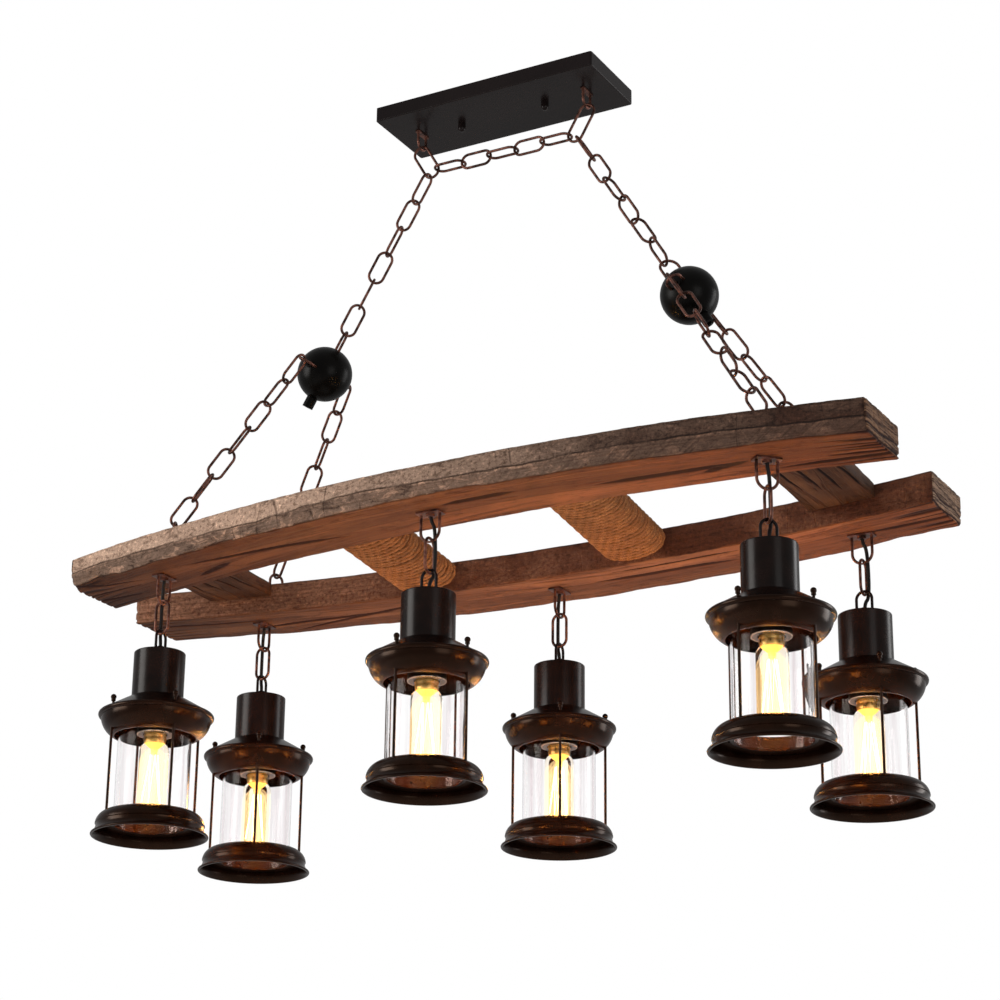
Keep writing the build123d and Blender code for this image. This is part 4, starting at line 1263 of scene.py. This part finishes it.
class PENDANT_OT_flexes(bpy.types.Operator):
    """Lead a black flex from the beam to each cap"""

    bl_idname = "pendant.flexes"
    bl_label = "Flexes"

    def execute(self, context):
        rubber = plain_finish("black_flex", (0.004, 0.003, 0.003), 0.5, 900.0)
        for name in LANTERNS:
            hang = HINGES[f"{name}_hanger_swing"]
            foot = HINGES[f"{name}_lantern_swing"]
            along = TURNS[f"{name}_hanger_swing"]
            aside = (along + TURNS[f"{name}_lantern_swing"]) * FLEX_ASIDE
            plumb = Vector((hang.x, hang.y, 0))
            top = beam_low.z
            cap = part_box(f"{name}_lampholder")[1].z - 0.005
            middle = (hang.z + foot.z) / 2
            upper = [(0, top + 0.009), (0, top - 0.0090), (1, top - 0.0160), (1, middle)]
            lower = [(1, middle), (1, cap + 0.0204), (0, cap + 0.0134), (0, cap - 0.0015)]
            runs = (
                ("upper", upper, "frame", f"{name}_hanger", hang),
                ("lower", lower, f"{name}_hanger", f"{name}_lantern", foot),
            )
            for part, route, first, second, hinge in runs:
                controls = [plumb + aside * share + Vector((0, 0, height)) for share, height in route]
                line = line_through(f"{name}_flex_{part}", controls, 12)
                mesh = tubes_along(f"{name}_flex_{part}", [line], FLEX_DIAMETER / 2, 16)
                piece = place_piece(mesh, f"{name}_flex_{part}", rubber)
                bend = Vector((0, 0, FLEX_BEND))
                hinge + bend
                hinge - bend
                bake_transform(piece)
                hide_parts("lantern_cords")
        return {"FINISHED"}


def soft_light(name, place, target, size, power, colour, mirrored=True):
    """Rectangular studio light that points at a target, mirrored in polished metal or not."""
    data = bpy.data.lights.new(name, "AREA")
    data.shape = "RECTANGLE"
    data.size = size[0]
    data.size_y = size[1]
    data.energy = power
    data.color = colour
    lamp = bpy.data.objects.new(name, data)
    lamp.location = place
    lamp.rotation_euler = (Vector(target) - Vector(place)).to_track_quat("-Z", "Y").to_euler()
    lamp.visible_glossy = mirrored
    bpy.context.scene.collection.objects.link(lamp)


def studio_floor(scene):
    """Pale floor, white to the camera and through glass."""
    bm = bmesh.new()
    bmesh.ops.create_grid(bm, x_segments=1, y_segments=1, size=FLOOR_REACH)
    bmesh.ops.translate(bm, vec=(0, 0, FLOOR_LEVEL), verts=bm.verts)
    mesh = bpy.data.meshes.new("studio_floor")
    bm.to_mesh(mesh)
    bm.free()
    floor = bpy.data.objects.new("studio_floor", mesh)
    scene.collection.objects.link(floor)
    material, start = new_material("pale_floor")
    haze = speckle(start, object_place(start), 0.8, 2.0)
    seen = rays(start, "Is Camera Ray", "Is Transmission Ray")
    surface(
        start,
        {
            "Base Color": haze.mix(rgba((0.86, 0.86, 0.86)), rgba((0.90, 0.90, 0.90))),
            "Roughness": 0.9,
            "Emission Color": seen.mix(rgba((0, 0, 0)), rgba((1, 1, 1))),
            "Emission Strength": 0.7,
        },
    )
    mesh.materials.append(material)


def studio_sky(scene):
    """Even light from all round, white to the camera and through glass."""
    world = bpy.data.worlds.new("studio")
    scene.world = world
    world.use_nodes = True
    world.node_tree.nodes.clear()
    start = Flow(world.node_tree)
    strength = rays(start, "Is Camera Ray", "Is Transmission Ray") * 0.55 + 0.45
    back = start.make("ShaderNodeBackground", None, {"Color": (1, 1, 1, 1), "Strength": strength})
    start.make("ShaderNodeOutputWorld", None, {"Surface": back})


def studio_camera(scene):
    """Camera below the light, in front of it and to the right."""
    data = bpy.data.cameras.new("camera")
    data.sensor_width = 36.0
    data.lens = LENS
    camera = bpy.data.objects.new("camera", data)
    ahead = Vector((-0.45849, 0.81776, 0.34793)).normalized()
    up = Vector((0.15986, -0.30922, 0.93746))
    right = ahead.cross(up).normalized()
    turn = Matrix((right, right.cross(ahead), -ahead)).transposed()
    place = Vector((1.3257, -2.3609, beam_low.z - 0.9416))
    camera.matrix_world = Matrix.Translation(place) @ turn.to_4x4()
    scene.collection.objects.link(camera)
    scene.camera = camera


class PENDANT_OT_stage(bpy.types.Operator):
    """Set the floor, the light and the camera"""

    bl_idname = "pendant.stage"
    bl_label = "Stage"

    def execute(self, context):
        scene = context.scene
        scene.view_settings.view_transform = "Standard"
        studio_floor(scene)
        studio_sky(scene)
        middle = (0.0, 0.0, -0.55)
        soft_light("key", (-2.4, -2.2, -0.1), middle, (1.6, 1.6), 62.0, (1.0, 0.97, 0.93))
        soft_light("fill", (2.6, -1.6, -0.6), middle, (1.2, 1.6), 16.0, (1.0, 0.98, 0.96))
        soft_light("from_below", (0.2, -0.8, -1.95), middle, (2.2, 1.4), 26.0, (1.0, 0.95, 0.90), False)
        soft_light("back", (1.9, 1.9, -0.35), middle, (0.8, 1.8), 22.0, (1.0, 1.0, 1.0))
        studio_camera(scene)
        return {"FINISHED"}


OPERATORS = (
    PENDANT_OT_metalwork,
    PENDANT_OT_beams,
    PENDANT_OT_rails,
    PENDANT_OT_rope,
    PENDANT_OT_lanterns,
    PENDANT_OT_flexes,
    PENDANT_OT_stage,
)


class PENDANT_PT_panel(bpy.types.Panel):
    """Lists the steps that dress the pendant"""

    bl_idname = "PENDANT_PT_panel"
    bl_label = "Lantern pendant"
    bl_space_type = "VIEW_3D"
    bl_region_type = "UI"
    bl_category = "Pendant"

    def draw(self, context):
        for step in OPERATORS:
            self.layout.operator(step.bl_idname)


CLASSES = (BeamSizes, RopeSizes, FinishColours, *OPERATORS, PENDANT_PT_panel)


def register():
    for item in CLASSES:
        bpy.utils.register_class(item)
    bpy.types.Scene.pendant_beams = bpy.props.PointerProperty(type=BeamSizes)
    bpy.types.Scene.pendant_rope = bpy.props.PointerProperty(type=RopeSizes)
    bpy.types.Scene.pendant_colours = bpy.props.PointerProperty(type=FinishColours)


def unregister():
    del bpy.types.Scene.pendant_colours
    del bpy.types.Scene.pendant_rope
    del bpy.types.Scene.pendant_beams
    for item in reversed(CLASSES):
        bpy.utils.unregister_class(item)


def main():
    register()
    bpy.ops.pendant.metalwork()
    bpy.ops.pendant.beams()
    bpy.ops.pendant.rails()
    bpy.ops.pendant.rope()
    bpy.ops.pendant.lanterns()
    bpy.ops.pendant.flexes()
    bpy.ops.pendant.stage()


if __name__ == "__main__":
    main()
